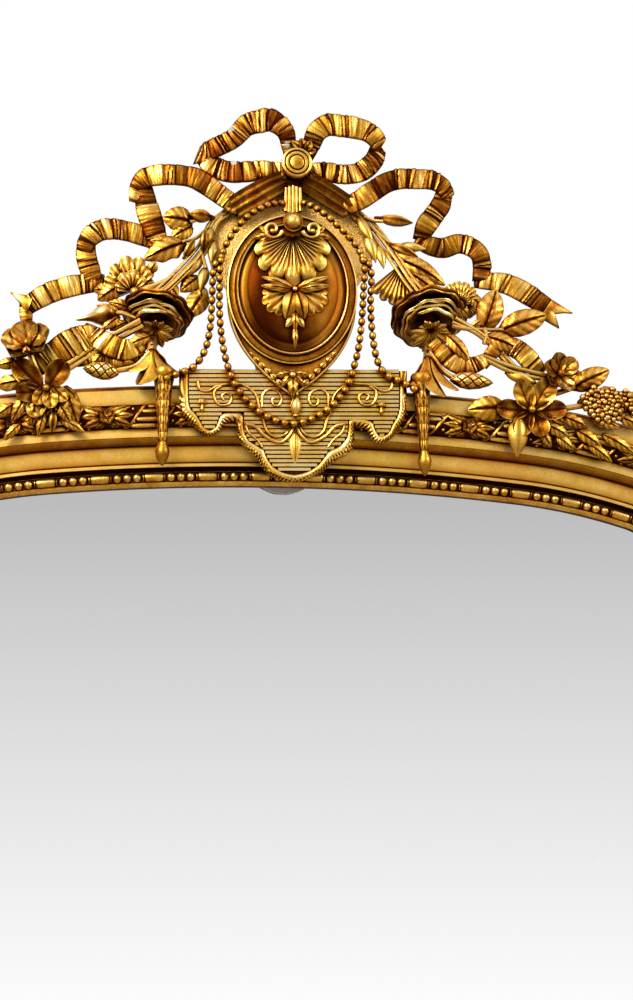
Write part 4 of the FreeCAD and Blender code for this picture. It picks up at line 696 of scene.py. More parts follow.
reeds_shape = carved_mesh("reeds", reed_bundle(), gilt_carving)
foliage_shape = carved_mesh("foliage", torus_foliage(), gilt_carving)
TORUS_RUNS = {
    "torus_top": TOP_STATIONS, "torus_right": SIDE_STATIONS, "torus_left": other_side(SIDE_STATIONS),
    "torus_base": BASE_STATIONS,
}
TORUS_PATTERN = (("foliage", 0.0), ("reeds", 0.5))
for node, stations in TORUS_RUNS.items():
    marks = line_marks(stations, TORUS_LINE, TORUS_MIDDLE_FRONT, TORUS_PATTERN, TORUS_PITCH)
    shown(node + "_carved", set_out(
        node + "_carved", [moulding_run(TORUS_SECTION, stations)], marks,
        {"reeds": reeds_shape, "foliage": foliage_shape}, gilt_carving, 34), node)

# Plate and back: silvered glass held in its rebate by glued blocks, under three backboards screwed on.
# The silvering is old: bright, with faint clouding and a few foxed spots towards the edge.
finish, tree, shader, place = new_finish("old_silvering")
clouds = noise(tree, place, 3.0, 4.0)
foxing = ranged(tree, noise(tree, place, 60.0, 6.0, 0.7), 0.0, 0.25, 0.70, 0.80)
feed(tree, shader, {
    "Base Color": tones(tree, foxing, [(0.0, (0.985, 0.985, 0.985)), (1.0, (0.35, 0.30, 0.22))]),
    "Roughness": ranged(tree, clouds, 0.0, 0.03), "Metallic": 1.0})
finish_nodes(finish, "mirror_glass")
board_wood = wood_finish("backboard_pine", (0.36, 0.225, 0.11), (0.17, 0.088, 0.034), (30, 30, 1.5))
finish_nodes(board_wood, "backboard_left", "backboard_middle", "backboard_right", "glass_blocks")


def metal_finish(name, clean, painted_reflection_streaks, rough, scale):
    """Plain metal hardware: tarnish in patches, fine scratches."""
    finish, tree, shader, place = new_finish(name)
    patches = noise(tree, place, scale, 6.0, 0.65)
    feed(tree, shader, {
        "Base Color": tones(tree, patches, [(0.38, clean), (0.66, painted_reflection_streaks)]), "Metallic": 0.9,
        "Roughness": ranged(tree, patches, rough, rough + 0.3, 0.3, 0.7),
        "Normal": bumped(tree, patches, 0.2, 0.0004)})
    return finish


iron = metal_finish("iron_screw", (0.30, 0.28, 0.26), (0.10, 0.055, 0.03), 0.38, 300.0)
brass = metal_finish("brass_hanger", (0.60, 0.40, 0.13), (0.24, 0.14, 0.045), 0.3, 120.0)
finish_nodes(iron, "backboard_screws", "crest_screws", "hanger_screws")
finish_nodes(brass, "hanger_strap_left", "hanger_strap_right", "hanger_ring_left", "hanger_ring_right")

# Crest board: the sawn pine ground that carries the carving, held by two battens screwed behind.
# Its front was sized, strewn with sand and gilded, so it shows as a pale matt stipple, with painted shade
# where carving stands close in front.
sanded_gilding, tree, shader, place = new_finish("sanded_gilding")
SAND_TONES = [(0.26, (1.0, 0.68, 0.26)), (0.52, (0.80, 0.45, 0.095)), (0.9, (0.22, 0.075, 0.008))]
sand = put(tree, "ShaderNodeTexVoronoi", {"Vector": place, "Scale": 620.0}).outputs["Distance"]
# Painted shade: corner occlusion darkens the stipple close to the carving.
sand_and_shade = mixed(tree, (sand, 0.55), (noise(tree, place, 45.0, 4.0), 0.5), (corner_shade(tree, 0.02, 6), 0.35))
feed(tree, shader, {
    "Base Color": tones(tree, sand_and_shade, SAND_TONES), "Roughness": 0.38, "Metallic": 0.95,
    "Normal": bumped(tree, sand, 0.8, 0.001)})
BATTEN_WAIST, WAIST_HEIGHT, WAIST_REACH = 0.017, 1.475, 0.045


def waisted_batten(node, outer):
    """A batten planed back on its outer edge where it would show beside the shield."""
    low, high = (np.array(corner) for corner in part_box(node))
    heights = np.linspace(low[2], high[2], 25)
    waist = BATTEN_WAIST * np.exp(-((heights - WAIST_HEIGHT) / WAIST_REACH) ** 2)
    left, right = low[0] + waist * (outer < 0), high[0] - waist * (outer > 0)
    rings = [[(a, low[1], z), (b, low[1], z), (b, high[1], z), (a, high[1], z)]
             for a, b, z in zip(left, right, heights)]
    return rings_shape(np.array(rings), np.zeros((1, 4)))


for side, outer in (("left", -1), ("right", 1)):
    node = "crest_batten_" + side
    carve(node + "_planed", [waisted_batten(node, outer)], node, 30, pine_upright, "pine")

STANDPOINT = np.array([-0.3183, -2.5944, 0.9021])
VIEW_YAW, VIEW_PITCH, FOCAL_PX = math.radians(8.0), math.radians(8.79), 1900.0
CENTRE_PX = (316.5, 500.0)
AHEAD = np.array([math.sin(VIEW_YAW) * math.cos(VIEW_PITCH), math.cos(VIEW_YAW) * math.cos(VIEW_PITCH),
                  math.sin(VIEW_PITCH)])
RIGHT = np.array([math.cos(VIEW_YAW), -math.sin(VIEW_YAW), 0.0])
RISE = np.cross(RIGHT, AHEAD)


def spot(column, row, front):
    """The place, this many millimetres forward of the wall, that the carver's drawing shows at a pixel."""
    ray = AHEAD * FOCAL_PX + RIGHT * (column - CENTRE_PX[0]) + RISE * (CENTRE_PX[1] - row)
    return STANDPOINT + ray * ((-front / 1000 - STANDPOINT[1]) / ray[1])


def ring_stack(rings, hollows):
    """A skin over a stack of rings that closes at its first and last ring."""
    return rings_shape(np.array(rings), np.array(hollows)[:, None])


BOARD_EDGE = [
    (293, 160), (318, 172), (345, 196), (366, 215), (377, 245), (369, 272), (352, 292), (348, 322),
    (336, 346), (322, 366), (322, 376), (396, 380), (396, 392), (190, 392), (190, 380), (264, 376),
    (264, 366), (250, 346), (236, 322), (232, 292), (214, 272), (207, 245), (216, 215), (240, 196),
    (268, 172)]
BOARD_BACK, BOARD_FRONT = 12, 30
board_rings = [np.array([spot(c, r, BOARD_FRONT) * (1, 0, 1) - np.array([0, front / 1000, 0])
                         for c, r in BOARD_EDGE]) for front in (BOARD_BACK, BOARD_FRONT)]
carve("crest_board_sanded", [ring_stack(board_rings, [0.5, 0.5])], "crest_board",
      finish=sanded_gilding, slot="sanded_gilt_board")

# Cartouche: a pointed shield carved from a thick block, with an oval moulded rim, a burnished dome and,
# on it, a scallop shell over a pair of acanthus leaves and a hanging husk.
PIXEL = 0.0013684
OVAL_HALF = (66.0 * PIXEL, 77.0 * PIXEL)
OVAL_MIDDLE = spot(292, 290, 84)
OVAL_POINTS = 144
gilt_burnished = gilt_finish("gilt_burnished", rubbed=0.2, rough=0.2, grain=0.35)


def oval_ring(inset, front, share=1.0):
    """A ring of points round the oval, set in from its edge and forward of the wall, in millimetres."""
    turns = np.linspace(0, 2 * math.pi, OVAL_POINTS, endpoint=False)
    edge = np.stack([OVAL_HALF[0] * np.sin(turns), OVAL_HALF[1] * np.cos(turns)], 1)
    inwards = unit(np.stack([OVAL_HALF[1] * np.sin(turns), OVAL_HALF[0] * np.cos(turns)], 1))
    flat = (edge - inwards * inset / 1000) * share
    forward = np.full(OVAL_POINTS, -front / 1000)
    return np.stack([OVAL_MIDDLE[0] + flat[:, 0], forward, OVAL_MIDDLE[2] + flat[:, 1]], 1)


def closed_moulding(rings, hollows):
    """A skin over rings that come round to the first again, as for a rim."""
    rings = np.array(rings)
    count, size = rings.shape[:2]
    faces = []
    for here in range(count):
        near, far = here * size, (here + 1) % count * size
        faces += [[near + i, near + (i + 1) % size, far + (i + 1) % size, far + i] for i in range(size)]
    return rings.reshape(-1, 3), faces, np.repeat(np.array(hollows, float), size)


SHIELD_TIP, SHIELD_SHOULDER_DEG, SHIELD_BELLY = (292.5, 397), 100.0, 0.56


def shield_ring(inset, front, spread, lift):
    """A ring round the pointed shield: the oval above, two swelling edges to a raised tip below."""
    ring = oval_ring(inset, front, spread)
    tip = spot(*SHIELD_TIP, front + lift) + np.array([0, 0, 1.35 * inset / 1000 + (1 - spread) * 0.15])
    turns = np.linspace(0, 360, OVAL_POINTS, endpoint=False)
    first = int(np.argmin(np.abs(turns - SHIELD_SHOULDER_DEG)))
    half = OVAL_POINTS // 2
    for steps in (np.arange(first, half + 1), np.arange(OVAL_POINTS - first, half - 1, -1)):
        share = np.linspace(0, 1, len(steps))[:, None]
        shoulder = ring[steps[0]].copy()
        level = shoulder[2] + (tip[2] - shoulder[2]) * SHIELD_BELLY
        belly = np.array([shoulder[0], (shoulder[1] + tip[1]) / 2, level])
        ring[steps] = shoulder * (1 - share) ** 2 + belly * 2 * share * (1 - share) + tip * share ** 2
    return ring


# Last number of each row: painted shade where the shield's edge turns back, a painted highlight on its crest.
SHIELD_ROWS = [
    (6, 31, 0.93, 0, 1.0), (5, 50, 0.95, 0, 0.9), (2.0, 74, 0.98, 4, 0.75), (0.2, 80, 1.0, 9, 0.45),
    (0.4, 84.5, 1.0, 10, 0.1), (1.6, 86, 1.0, 10, -0.1), (3.0, 86, 1.0, 10, 0.0), (4.0, 84.0, 1.0, 10, 0.7),
    (7.5, 83.2, 1.0, 10, 0.4), (10, 83, 1.0, 9.5, 0.3)]
shield = ring_stack(
    [shield_ring(*row[:4]) for row in SHIELD_ROWS] + [oval_ring(14, 82.5), oval_ring(40, 82.5)],
    [row[4] for row in SHIELD_ROWS] + [0.7, 0.7])
TIP_LINE = 292.5
TIP_LEAVES = [
    (374, 94, 274, 376, 94, 12.0), (374, 94, 311, 376, 94, 12.0), (374, 94, 281, 387, 96, 13.0),
    (374, 94, 304, 387, 96, 13.0), (375, 95, 292.5, 399, 98, 17.0)]
tip_leaves = [blade(spot(TIP_LINE, *row[:2]), spot(*row[2:5]), row[5] / 1000, arch=0.22, cup=0.4, veins=4,
                    notch=0.2, notches=3) for row in TIP_LEAVES]
tip_leaves.append(ball(spot(TIP_LINE, 375, 97), 0.0052, sides=14))
edge_husks = []
for start, end in (((247, 351), (281, 384)), ((338, 351), (304, 384))):
    for share in np.linspace(0, 0.86, 6):
        a = np.array(start) + (np.array(end) - start) * share
        b = np.array(start) + (np.array(end) - start) * (share + 0.16)
        lift = 86 + 10 * share
        edge_husks.append(blade(spot(*b, lift + 2.5), spot(*a, lift + 1), 0.0085, arch=0.16, cup=0.3, veins=0,
                                thick=0.003, along=9, across=7))
carve("cartouche_shield_carved", [shield] + tip_leaves + edge_husks, "cartouche_shield", 34)

# Third number: painted shade where the rim turns away and in its hollow.
RIM_PROFILE = [
    (0.2, 83.5, 1.0), (0.0, 88, 0.5), (0.6, 90.2, 0.0), (2.2, 90.6, 0.0), (3.2, 89.4, 0.5),
    (4.5, 87.8, 0.42), (7.5, 87.3, 0.22), (10.5, 88.2, 0.25), (12.2, 90.5, 0.5), (12.9, 92.8, 0.1),
    (14.0, 93.9, 0.0), (15.2, 93.6, 0.0), (15.9, 92.2, 0.3), (16.0, 83.5, 1.0)]
pearl_middle, PEARL_BOSS_RADIUS = spot(293, 222, 92), 0.0118
PEARL_SEAT = [(0, 0.004), (0, 0.0150), (0.7, 0.0150), (1.0, 0.0138), (1.0, 0.0118), (0.7, 0.0110)]
rim_shapes = [
    closed_moulding([oval_ring(i, f) for i, f, _ in RIM_PROFILE], [h for _, _, h in RIM_PROFILE]),
    ball(pearl_middle, PEARL_BOSS_RADIUS, sides=24),
    turned(pearl_middle + FORWARD * -0.010, pearl_middle + FORWARD * 0.002, PEARL_SEAT, 28, hollow=0.2)]
carve("cartouche_rim_gilt", rim_shapes, "cartouche_rim", 34)

# Third number: painted shade at the dome's foot and in its cove.
DOME_PROFILE = [
    (16.3, 84.4, 1.0), (16.3, 90.0, 0.8), (17.2, 88.6, 0.6), (19.5, 88.2, 0.15), (23, 89.6, 0.05),
    (26.5, 92.4, 0.15), (28.5, 94.0, 0.5), (31, 95.2, 0.45), (36, 97.0, 0.4), (44, 98.6, 0.4),
    (54, 99.5, 0.35), (66, 99.9, 0.35)]
dome_rings = [oval_ring(i, f) for i, f, _ in DOME_PROFILE] + [oval_ring(66, 100, s) for s in (0.5, 0.12)]
dome_hollows = [h for _, _, h in DOME_PROFILE] + [0.35, 0.35]
dome_points, dome_faces, dome_hollows = ring_stack(dome_rings, dome_hollows)
aside = (dome_points[:, 0] - OVAL_MIDDLE[0]) / OVAL_HALF[0]
above = (dome_points[:, 2] - OVAL_MIDDLE[2]) / OVAL_HALF[1]
low_part = np.clip((0.35 - above) / 0.6, 0, 1)


def streak(middle, reach):
    """An upright streak on the dome, at a share of its half width, for painting a reflection."""
    return np.exp(-((aside - middle) / reach) ** 2)


# Painted reflection on the burnished dome: upright dark streaks low down left of and near the middle, a dark
# streak at the far left and a bright one at the right.
painted_reflection_streaks = (0.30 * streak(-0.34, 0.24) + 0.20 * streak(0.10, 0.14)) * low_part
painted_reflection_streaks = painted_reflection_streaks - 0.22 * streak(0.46, 0.13) + 0.25 * streak(-0.56, 0.15)
carve("cartouche_dome_burnished", [(dome_points, dome_faces, dome_hollows + painted_reflection_streaks)], "cartouche_dome", 40,
      gilt_burnished)


def sheet_shape(front, back, hollow, behind_hollow=0.9):
    """A carved sheet between a front and a back grid, closed round all its edges, its back in painted shade.
    """
    rows, columns = front.shape[:2]
    number = np.arange(rows * columns).reshape(rows, columns)
    quads = np.stack([number[:-1, :-1], number[:-1, 1:], number[1:, 1:], number[1:, :-1]], -1).reshape(-1, 4)
    behind = quads[:, ::-1] + rows * columns
    edge = np.concatenate([number[0, :-1], number[:-1, -1], number[-1, :0:-1], number[:0:-1, 0]])
    after = np.roll(edge, -1)
    wall = np.stack([edge, edge + rows * columns, after + rows * columns, after], -1)
    faces = np.concatenate([quads, behind, wall]).tolist()
    return (np.concatenate([front.reshape(-1, 3), back.reshape(-1, 3)]), faces,
            np.concatenate([hollow.reshape(-1), np.full(rows * columns, behind_hollow)]))


def smooth(low, high, value):
    """A soft step from nought to one."""
    share = np.clip((value - low) / (high - low), 0, 1)
    return share * share * (3 - 2 * share)


def fan(hinge, heading_deg, spread_deg, reach, lobes, front, rise, depth, flutes=3, side_share=0.75,
        fine=10, swell=0.28, plain_from=0.45, round_by=0.7):
    """A fan carved like a scallop: narrow ribs from its hinge, opening into round lobes at the edge.

    The hinge and reach are in pixels, the heading is from straight up, and the heights in millimetres."""
    shares = np.linspace(-1, 1, lobes * fine + 1)[None, :]
    runs = np.linspace(0.05, 1.0, 18)[:, None]
    turn = (shares + 1) / 2 * lobes
    lobe = np.abs(np.sin(math.pi * turn)) ** round_by
    rib = np.cos(2 * math.pi * turn * flutes)
    outer = smooth(plain_from, plain_from + 0.3, runs)
    length = reach * (side_share + (1 - side_share) * np.cos(shares * math.pi / 2))
    length = length * (1 - 0.13 * (1 - lobe) * runs ** 4)
    height = (front + rise * np.sin(math.pi / 2 * np.minimum(1, runs * 1.3))
              - 0.55 * rise * smooth(0.8, 1.0, runs)
              + swell * rise * lobe * outer + 0.12 * rise * rib * (1 - outer))
    angle = math.radians(heading_deg) + math.radians(spread_deg) * shares
    columns = hinge[0] + length * runs * np.sin(angle)
    rows = hinge[1] - length * runs * np.cos(angle)
    grid = np.array([[spot(c, r, h) for c, r, h in zip(*line)] for line in zip(columns, rows, height)])
    back = grid.copy()
    back[:, :, 1] = -(front - depth) / 1000
    # Painted shade in the ribs' grooves, in the notches between lobes and close to the hinge.
    hollow = (0.42 * (0.5 - 0.5 * rib) * (1 - outer) + 0.75 * (1 - lobe) ** 2 * outer
              + 0.3 * smooth(0.2, 0.05, runs))
    return sheet_shape(grid, back, hollow)


def scroll(middle, size, turns, start_deg, front, radius, hand=1):
    """A volute: a round moulding winding in to its eye."""
    angles = np.linspace(0, turns * 2 * math.pi, int(turns * 14) + 2)
    points = []
    for angle in angles:
        reach = size * (1 - 0.82 * angle / angles[-1])
        turn = angle + math.radians(start_deg)
        across, up = hand * reach * math.cos(turn), reach * math.sin(turn)
        points.append(spot(middle[0] + across, middle[1] - up, front))
    return [stalk(points, np.linspace(radius, radius * 0.7, len(points)), 8, step=0.0025),
            ball(points[-1], radius * 1.35, sides=10)]


SHELL_LINE, ACANTHUS_LINE = 292.5, 295.0
SHELL_SPRIGS = ((38, 238, 12), (33, 226, 9), (35, 246, 11))
# The last number of each acanthus leaf paints it darker, as painted shade, or below nought lighter.
ACANTHUS = [
    (1.0, 289, 33, 277, 11.0, 0.14, -0.05), (2.0, 290, 34, 286, 12.0, 0.10, 0.0),
    (1.5, 289, 9, 319, 21.0, 0.0, 0.22), (0.5, 316, 9, 327, 10.0, 0.0, 0.0)]
HUSKS = ((309, 24, 12.0), (326, 23, 8.5))
shell_shapes = [fan((SHELL_LINE, 235), 180, 80, 51, 7, 98.5, 7.5, 6.0, side_share=0.74, fine=16, swell=0.12,
                    plain_from=0.60)]
for hand in (-1, 1):
    shell_shapes += scroll((SHELL_LINE + hand * 20.0, 229.5), 10.0, 1.25, 190, 96.5, 0.0032, hand)
    for tip_column, tip_row, width in SHELL_SPRIGS:
        shell_shapes.append(blade(
            spot(SHELL_LINE + hand * 22, 236, 96.5), spot(SHELL_LINE + hand * tip_column, tip_row, 95.5),
            width / 1000, arch=0.15, cup=0.3, veins=3, notch=0.1, notches=3, thick=0.004, blunt=0.6))
    shell_shapes.append(fan((ACANTHUS_LINE + hand * 2, 289), hand * 122, 38, 34, 4, 98.5, 4.0, 3.0, flutes=1,
                            side_share=0.84, fine=12, swell=0.06, plain_from=0.95))
    for near, near_row, far, far_row, width, notch, dark in ACANTHUS:
        shell_shapes.append(blade(
            spot(ACANTHUS_LINE + hand * near, near_row, 102),
            spot(ACANTHUS_LINE + hand * far, far_row, 102.5), width / 1000, arch=0.16, cup=0.35,
            veins=3 if notch else 0, notch=notch, notches=3 if notch else 0, curl=0.03, dark=dark,
            thick=0.004, blunt=0.6, along=22, across=13, rim=-0.2))
for row, length, width in HUSKS:
    shell_shapes.append(blade(
        spot(ACANTHUS_LINE, row, 102), spot(ACANTHUS_LINE, row + length, 102), width / 1000,
        arch=0.14, cup=0.4, veins=3, notch=0.15, notches=2, thick=0.004))
shell_shapes.append(ball(spot(ACANTHUS_LINE, 289, 105), 0.0040, sides=12))
carve("cartouche_shell_carved", shell_shapes, "cartouche_shell")

# Bow: two pleated loops of carved ribbon pinned by a turned rosette, over a gathered collar.
# Each loop is carved as two strips, thin at their edges, glued to the board and to the rosette.
RIBBON_WIDTH, RIBBON_THICK, PLEAT_LEAN = 28.0, 6.0, 3.5


def pleated(rows, depth, seed, pitch=(3.2, 17.0), dish=0.0, skew=(0.0, 0.0), pleat_shade=0.6):
    """A carved ribbon through rows of column, row, front share and width share, gathered in knife pleats.

    The pleats' narrow and wide pitch is in millimetres; skew slants the rolled ends."""
    chance = np.random.default_rng(seed)
    base = np.array([[*spot(c, r, d * 100), w] for c, r, d, w in rows])
    line = smooth_line(base, 0.0009)
    places, widths = line[:, :3], line[:, 3] * RIBBON_WIDTH / 1000
    ways = unit(np.gradient(places, axis=0))
    side = unit(np.cross(ways, FORWARD))
    face = np.cross(side, ways)
    reach = run_lengths(places)
    v = np.sin(np.linspace(-math.pi / 2, math.pi / 2, 15))
    starts, at = [], -0.012
    while at < reach[-1] + 0.02:
        starts.append(at)
        narrow = chance.uniform(0, 1) < 0.58
        at += (chance.uniform(1.0, 1.9) * pitch[0] if narrow else chance.uniform(0.45, 1.2) * pitch[1]) / 1000
    starts = np.array(starts)
    lean = np.convolve(chance.uniform(-1, 1, len(starts) + 4), np.ones(5) / 2.2, "valid") * PLEAT_LEAN / 1000
    heights = chance.uniform(0.35, 1.0, len(starts)) * 0.0040 * depth
    kinds = chance.integers(0, 3, len(starts))
    # Painted shade: some pleats darkened whole, dark lines along the pleat edges, the low side of each pleat
    # and the ribbon's edges darker.
    shades = chance.uniform(-0.15, pleat_shade, len(starts)) * (chance.uniform(0, 1, len(starts)) < 0.65)
    lines = chance.uniform(0.1, 1.0, len(starts))
    streaks = sum(chance.uniform(0.4, 1.0) * np.sin(
        2 * math.pi * reach[:, None] / length + chance.uniform(0, 6) + chance.uniform(-2.5, 2.5) * v[None, :])
        for length in (0.0036, 0.0054, 0.0083, 0.013)) * 0.5 * (depth > 0)
    relief = np.zeros((len(line), len(v)))
    hollow = np.zeros_like(relief)
    for column, across in enumerate(v):
        edges = starts + lean * across
        index = np.clip(np.searchsorted(edges, reach) - 1, 0, len(starts) - 2)
        run = np.clip((reach - edges[index]) / (edges[index + 1] - edges[index]), 0, 1)
        near = np.minimum(reach - edges[index], edges[index + 1] - reach)
        profiles = [np.minimum(run ** 0.8, (1 - run) * 7), np.minimum((1 - run) ** 0.8, run * 7),
                    np.sin(math.pi * run) ** 0.8]
        shape = np.choose(kinds[index], profiles)
        relief[:, column] = shape * heights[index]
        hollow[:, column] = (shades[index] + 0.9 * lines[index] * np.exp(-near / 0.0010) * (depth > 0)
                             + 0.25 * (1 - shape) * (depth > 0) + 0.55 * smooth(0.84, 1.0, abs(across)))
    from_end = np.minimum(reach, reach[-1] - reach)
    drop = RIBBON_THICK / 1000 * (1 - np.sqrt(np.clip(1 - (1 - np.clip(from_end / 0.0055, 0, 1)) ** 2, 0, 1)))
    crown = (0.0018 if dish == 0 else -dish / 1000) * (1 - v[None, :] ** 2) + (dish / 1000 if dish else 0)
    relief = relief - 0.0016 * depth + crown + 0.00028 * streaks
    # A dished strap's middle gets painted shade; the streaks paint light and shade across the ribbon.
    hollow = hollow + (0.55 * (1 - v[None, :] ** 2) if dish else 0.0) - 0.16 * streaks
    edge = 1 + 0.05 * (relief / 0.004) * np.abs(v[None, :]) ** 4 * (depth > 0)
    cut = np.where(reach < reach[-1] / 2, skew[0], skew[1]) * np.exp(-(from_end / 0.012) ** 2) / 1000
    middle = (places[:, None] + side[:, None] * (widths[:, None] / 2 * v[None, :] * edge)[..., None]
              + ways[:, None] * (cut[:, None] * v[None, :])[..., None])
    level = np.maximum(relief + 0.0015 - drop[:, None], -RIBBON_THICK / 1000 + 0.0024)
    front = middle + face[:, None] * level[..., None]
    below = np.broadcast_to(-0.0030 - 0.0010 * (1 - v[1:-1] ** 2), level[:, 1:-1].shape)
    under = middle[:, 1:-1] + face[:, None] * below[..., None]
    return rings_shape(np.concatenate([front, under[:, ::-1]], 1),
                       np.concatenate([hollow, np.full_like(under[..., 0], 0.7)], 1))


KNOT_OUTLINE = [
    (30, 0.6), (30, 13.0), (60, 13.0), (63, 18.6), (66, 20.2), (70, 20.5), (72.4, 19.6), (73.2, 18.0),
    (72.6, 16.6), (71.0, 15.8), (71.0, 15.2), (72.9, 14.6), (73.6, 12.8), (73.0, 11.0), (71.6, 10.2),
    (71.6, 9.6), (73.8, 9.0), (74.6, 7.0), (75.0, 3.4), (75.1, 0.5)]
# Painted shade on the rosette's sides and in the grooves between its rings.
KNOT_HOLLOWS = [
    1, 1, 1, 0.5, 0.2, 0.05, 0.0, 0.0, 0.2, 1.0, 1.0, 0.1, 0.0, 0.15, 1.0, 1.0, 0.1, 0.1, 0.2, 0.2]
KNOT_BACK, KNOT_DEPTH, KNOT_SCALE = 30, 46, 1.07
knot_back = spot(293.3, 172, KNOT_BACK)
knot_front = knot_back + FORWARD * (KNOT_DEPTH / 1000)
knot_outline = [((front - KNOT_BACK) / KNOT_DEPTH, KNOT_SCALE * r / 1000) for front, r in KNOT_OUTLINE]
carve("bow_rosette", [turned(knot_back, knot_front, knot_outline, 44, hollows=KNOT_HOLLOWS)], "bow_knot", 40)

COLLAR_FLUTES = [(286.0, 188, 285.5, 211), (289.5, 187, 289.0, 212), (293.0, 186, 293.0, 212.5),
                 (296.5, 187, 297.0, 212), (300.0, 188, 300.5, 211)]
COLLAR_BLOCK = ((284, 180), (302, 180), (301, 212), (285, 212))
collar_shapes = [stalk([spot(a, b, 53), spot((a + c) / 2, (b + d) / 2, 55), spot(c, d, 54)],
                       [0.0025, 0.0031, 0.0036], 10, step=0.003) for a, b, c, d in COLLAR_FLUTES]
collar_block = [np.array([spot(c, r, f) for c, r in COLLAR_BLOCK]) for f in (31, 52)]
# The block behind the flutes is painted fully in shade.
collar_shapes.append(ring_stack(collar_block, [1, 1]))
STRAPS = [
    [(284, 174, 0.54, 0.3), (270, 179, 0.54, 0.36), (254, 187, 0.52, 0.38), (240, 195, 0.49, 0.38),
     (228, 203, 0.47, 0.34)],
    [(286, 179, 0.52, 0.34), (273, 185, 0.53, 0.42), (257, 194, 0.51, 0.44), (242, 203, 0.48, 0.44),
     (229, 211, 0.46, 0.4)],
    [(288, 186, 0.49, 0.3), (277, 192, 0.50, 0.40), (263, 200, 0.50, 0.42), (248, 208, 0.48, 0.42),
     (236, 215, 0.46, 0.4)],
    [(303, 174, 0.54, 0.3), (316, 179, 0.54, 0.36), (330, 187, 0.52, 0.38), (342, 195, 0.49, 0.38),
     (354, 203, 0.47, 0.34)],
    [(301, 179, 0.52, 0.34), (313, 185, 0.53, 0.42), (328, 194, 0.51, 0.44), (341, 203, 0.48, 0.44),
     (353, 211, 0.46, 0.4)],
    [(299, 186, 0.49, 0.3), (309, 192, 0.50, 0.40), (322, 200, 0.50, 0.42), (335, 208, 0.48, 0.42),
     (346, 215, 0.46, 0.4)]]
# The straps' dished middles are in painted shade.
collar_shapes += [pleated(rows, 0.0, 60 + index, dish=3.0, pleat_shade=0.0) for index, rows in enumerate(STRAPS)]
CRUMPLE = [
    (303, 154, 292, 141, 13), (303, 154, 301, 138, 12), (304, 154, 311, 141, 13), (304, 155, 316, 150, 12),
    (302, 155, 290, 152, 12), (303, 152, 297, 146, 9), (303, 152, 308, 147, 9)]
collar_shapes += [blade(spot(a, b, 54), spot(c, d, 58), w / 1000, arch=0.25, cup=-0.5, veins=2, thick=0.004,
                        peak=1.2, blunt=0.6) for a, b, c, d, w in CRUMPLE]
carve("bow_collar_gathered", collar_shapes, "bow_collar")

BOW_LEFT = [
    [(291, 162, 0.46, 0.6), (289, 147, 0.50, 0.75), (285, 131, 0.54, 0.95), (272, 120.6, 0.58, 1.15),
     (258, 121.6, 0.58, 1.2), (246, 126, 0.55, 1.1), (234, 138, 0.50, 1.0), (219, 146, 0.46, 1.0),
     (205, 152, 0.43, 0.95), (196, 155, 0.41, 0.8)],
    [(199, 152, 0.38, 0.7), (209, 163, 0.41, 1.0), (225, 171, 0.45, 1.1), (245, 172, 0.48, 1.05),
     (264, 170, 0.50, 0.95), (287, 172, 0.52, 0.8)],
]
BOW_RIGHT = [
    [(305, 162, 0.48, 0.6), (311, 146, 0.53, 0.9), (317, 132, 0.57, 1.05), (328, 125, 0.59, 1.15),
     (342, 126, 0.59, 1.15), (356, 128, 0.57, 1.15), (368, 132, 0.53, 1.05), (377, 140, 0.48, 0.95),
     (381, 149, 0.44, 0.8)],
    [(380, 144, 0.39, 0.8), (374, 160, 0.42, 1.0), (364, 170, 0.45, 1.05), (352, 174, 0.48, 1.0),
     (338, 174, 0.50, 1.0), (322, 171, 0.52, 0.9), (303, 172, 0.53, 0.75)],
]
BOW_SKEWS = {"left": ((0, -9), (7, 0)), "right": ((0, 7), (-7, 0))}
BOW_CHIPS = [(spot(231, 128, 55), 0.009), (spot(287, 144, 55), 0.008), (spot(234, 163, 48), 0.008)]
for side, bands in (("left", BOW_LEFT), ("right", BOW_RIGHT)):
    loops = [pleated(rows, 1.0, 11 + i + 5 * (side == "right"), skew=BOW_SKEWS[side][i])
             for i, rows in enumerate(bands)]
    carve("bow_%s_pleated" % side, loops, "bow_" + side, chips=BOW_CHIPS)

# Ribbon tails: the bow's ends, falling outwards in folds and turning over at each bend.
# Carved in short strips, each lapped behind the last, and carried out on the sprays.
RIBBON_LEFT = [
    [(242, 211, 0.44, 0.8), (222, 196, 0.48, 1.0), (208, 186, 0.50, 1.05), (194, 178, 0.52, 1.05),
     (178, 175, 0.52, 1.05), (160, 175, 0.51, 1.05), (146, 178, 0.49, 1.0), (137, 187, 0.45, 0.75),
     (133, 202, 0.42, 0.4)],
    [(143, 183, 0.42, 0.8), (146, 203, 0.43, 1.1), (150, 217, 0.45, 1.2), (155, 232, 0.46, 1.1),
     (158, 248, 0.44, 0.9)],
    [(164, 244, 0.40, 0.8), (146, 237, 0.43, 1.0), (130, 232, 0.46, 1.0), (114, 229, 0.48, 1.05),
     (99, 231, 0.48, 1.05), (88, 240, 0.45, 0.95), (83, 254, 0.42, 0.7)],
    [(88, 236, 0.40, 0.8), (86, 254, 0.42, 1.0), (90, 270, 0.44, 1.0), (96, 288, 0.42, 0.8)],
    [(106, 282, 0.40, 0.8), (84, 284, 0.43, 1.0), (68, 287, 0.46, 1.05), (52, 292, 0.47, 1.05),
     (38, 299, 0.46, 1.0), (24, 309, 0.43, 0.8)],
    [(25, 296, 0.40, 0.5), (26, 312, 0.42, 0.65), (27, 328, 0.45, 0.5)],
]
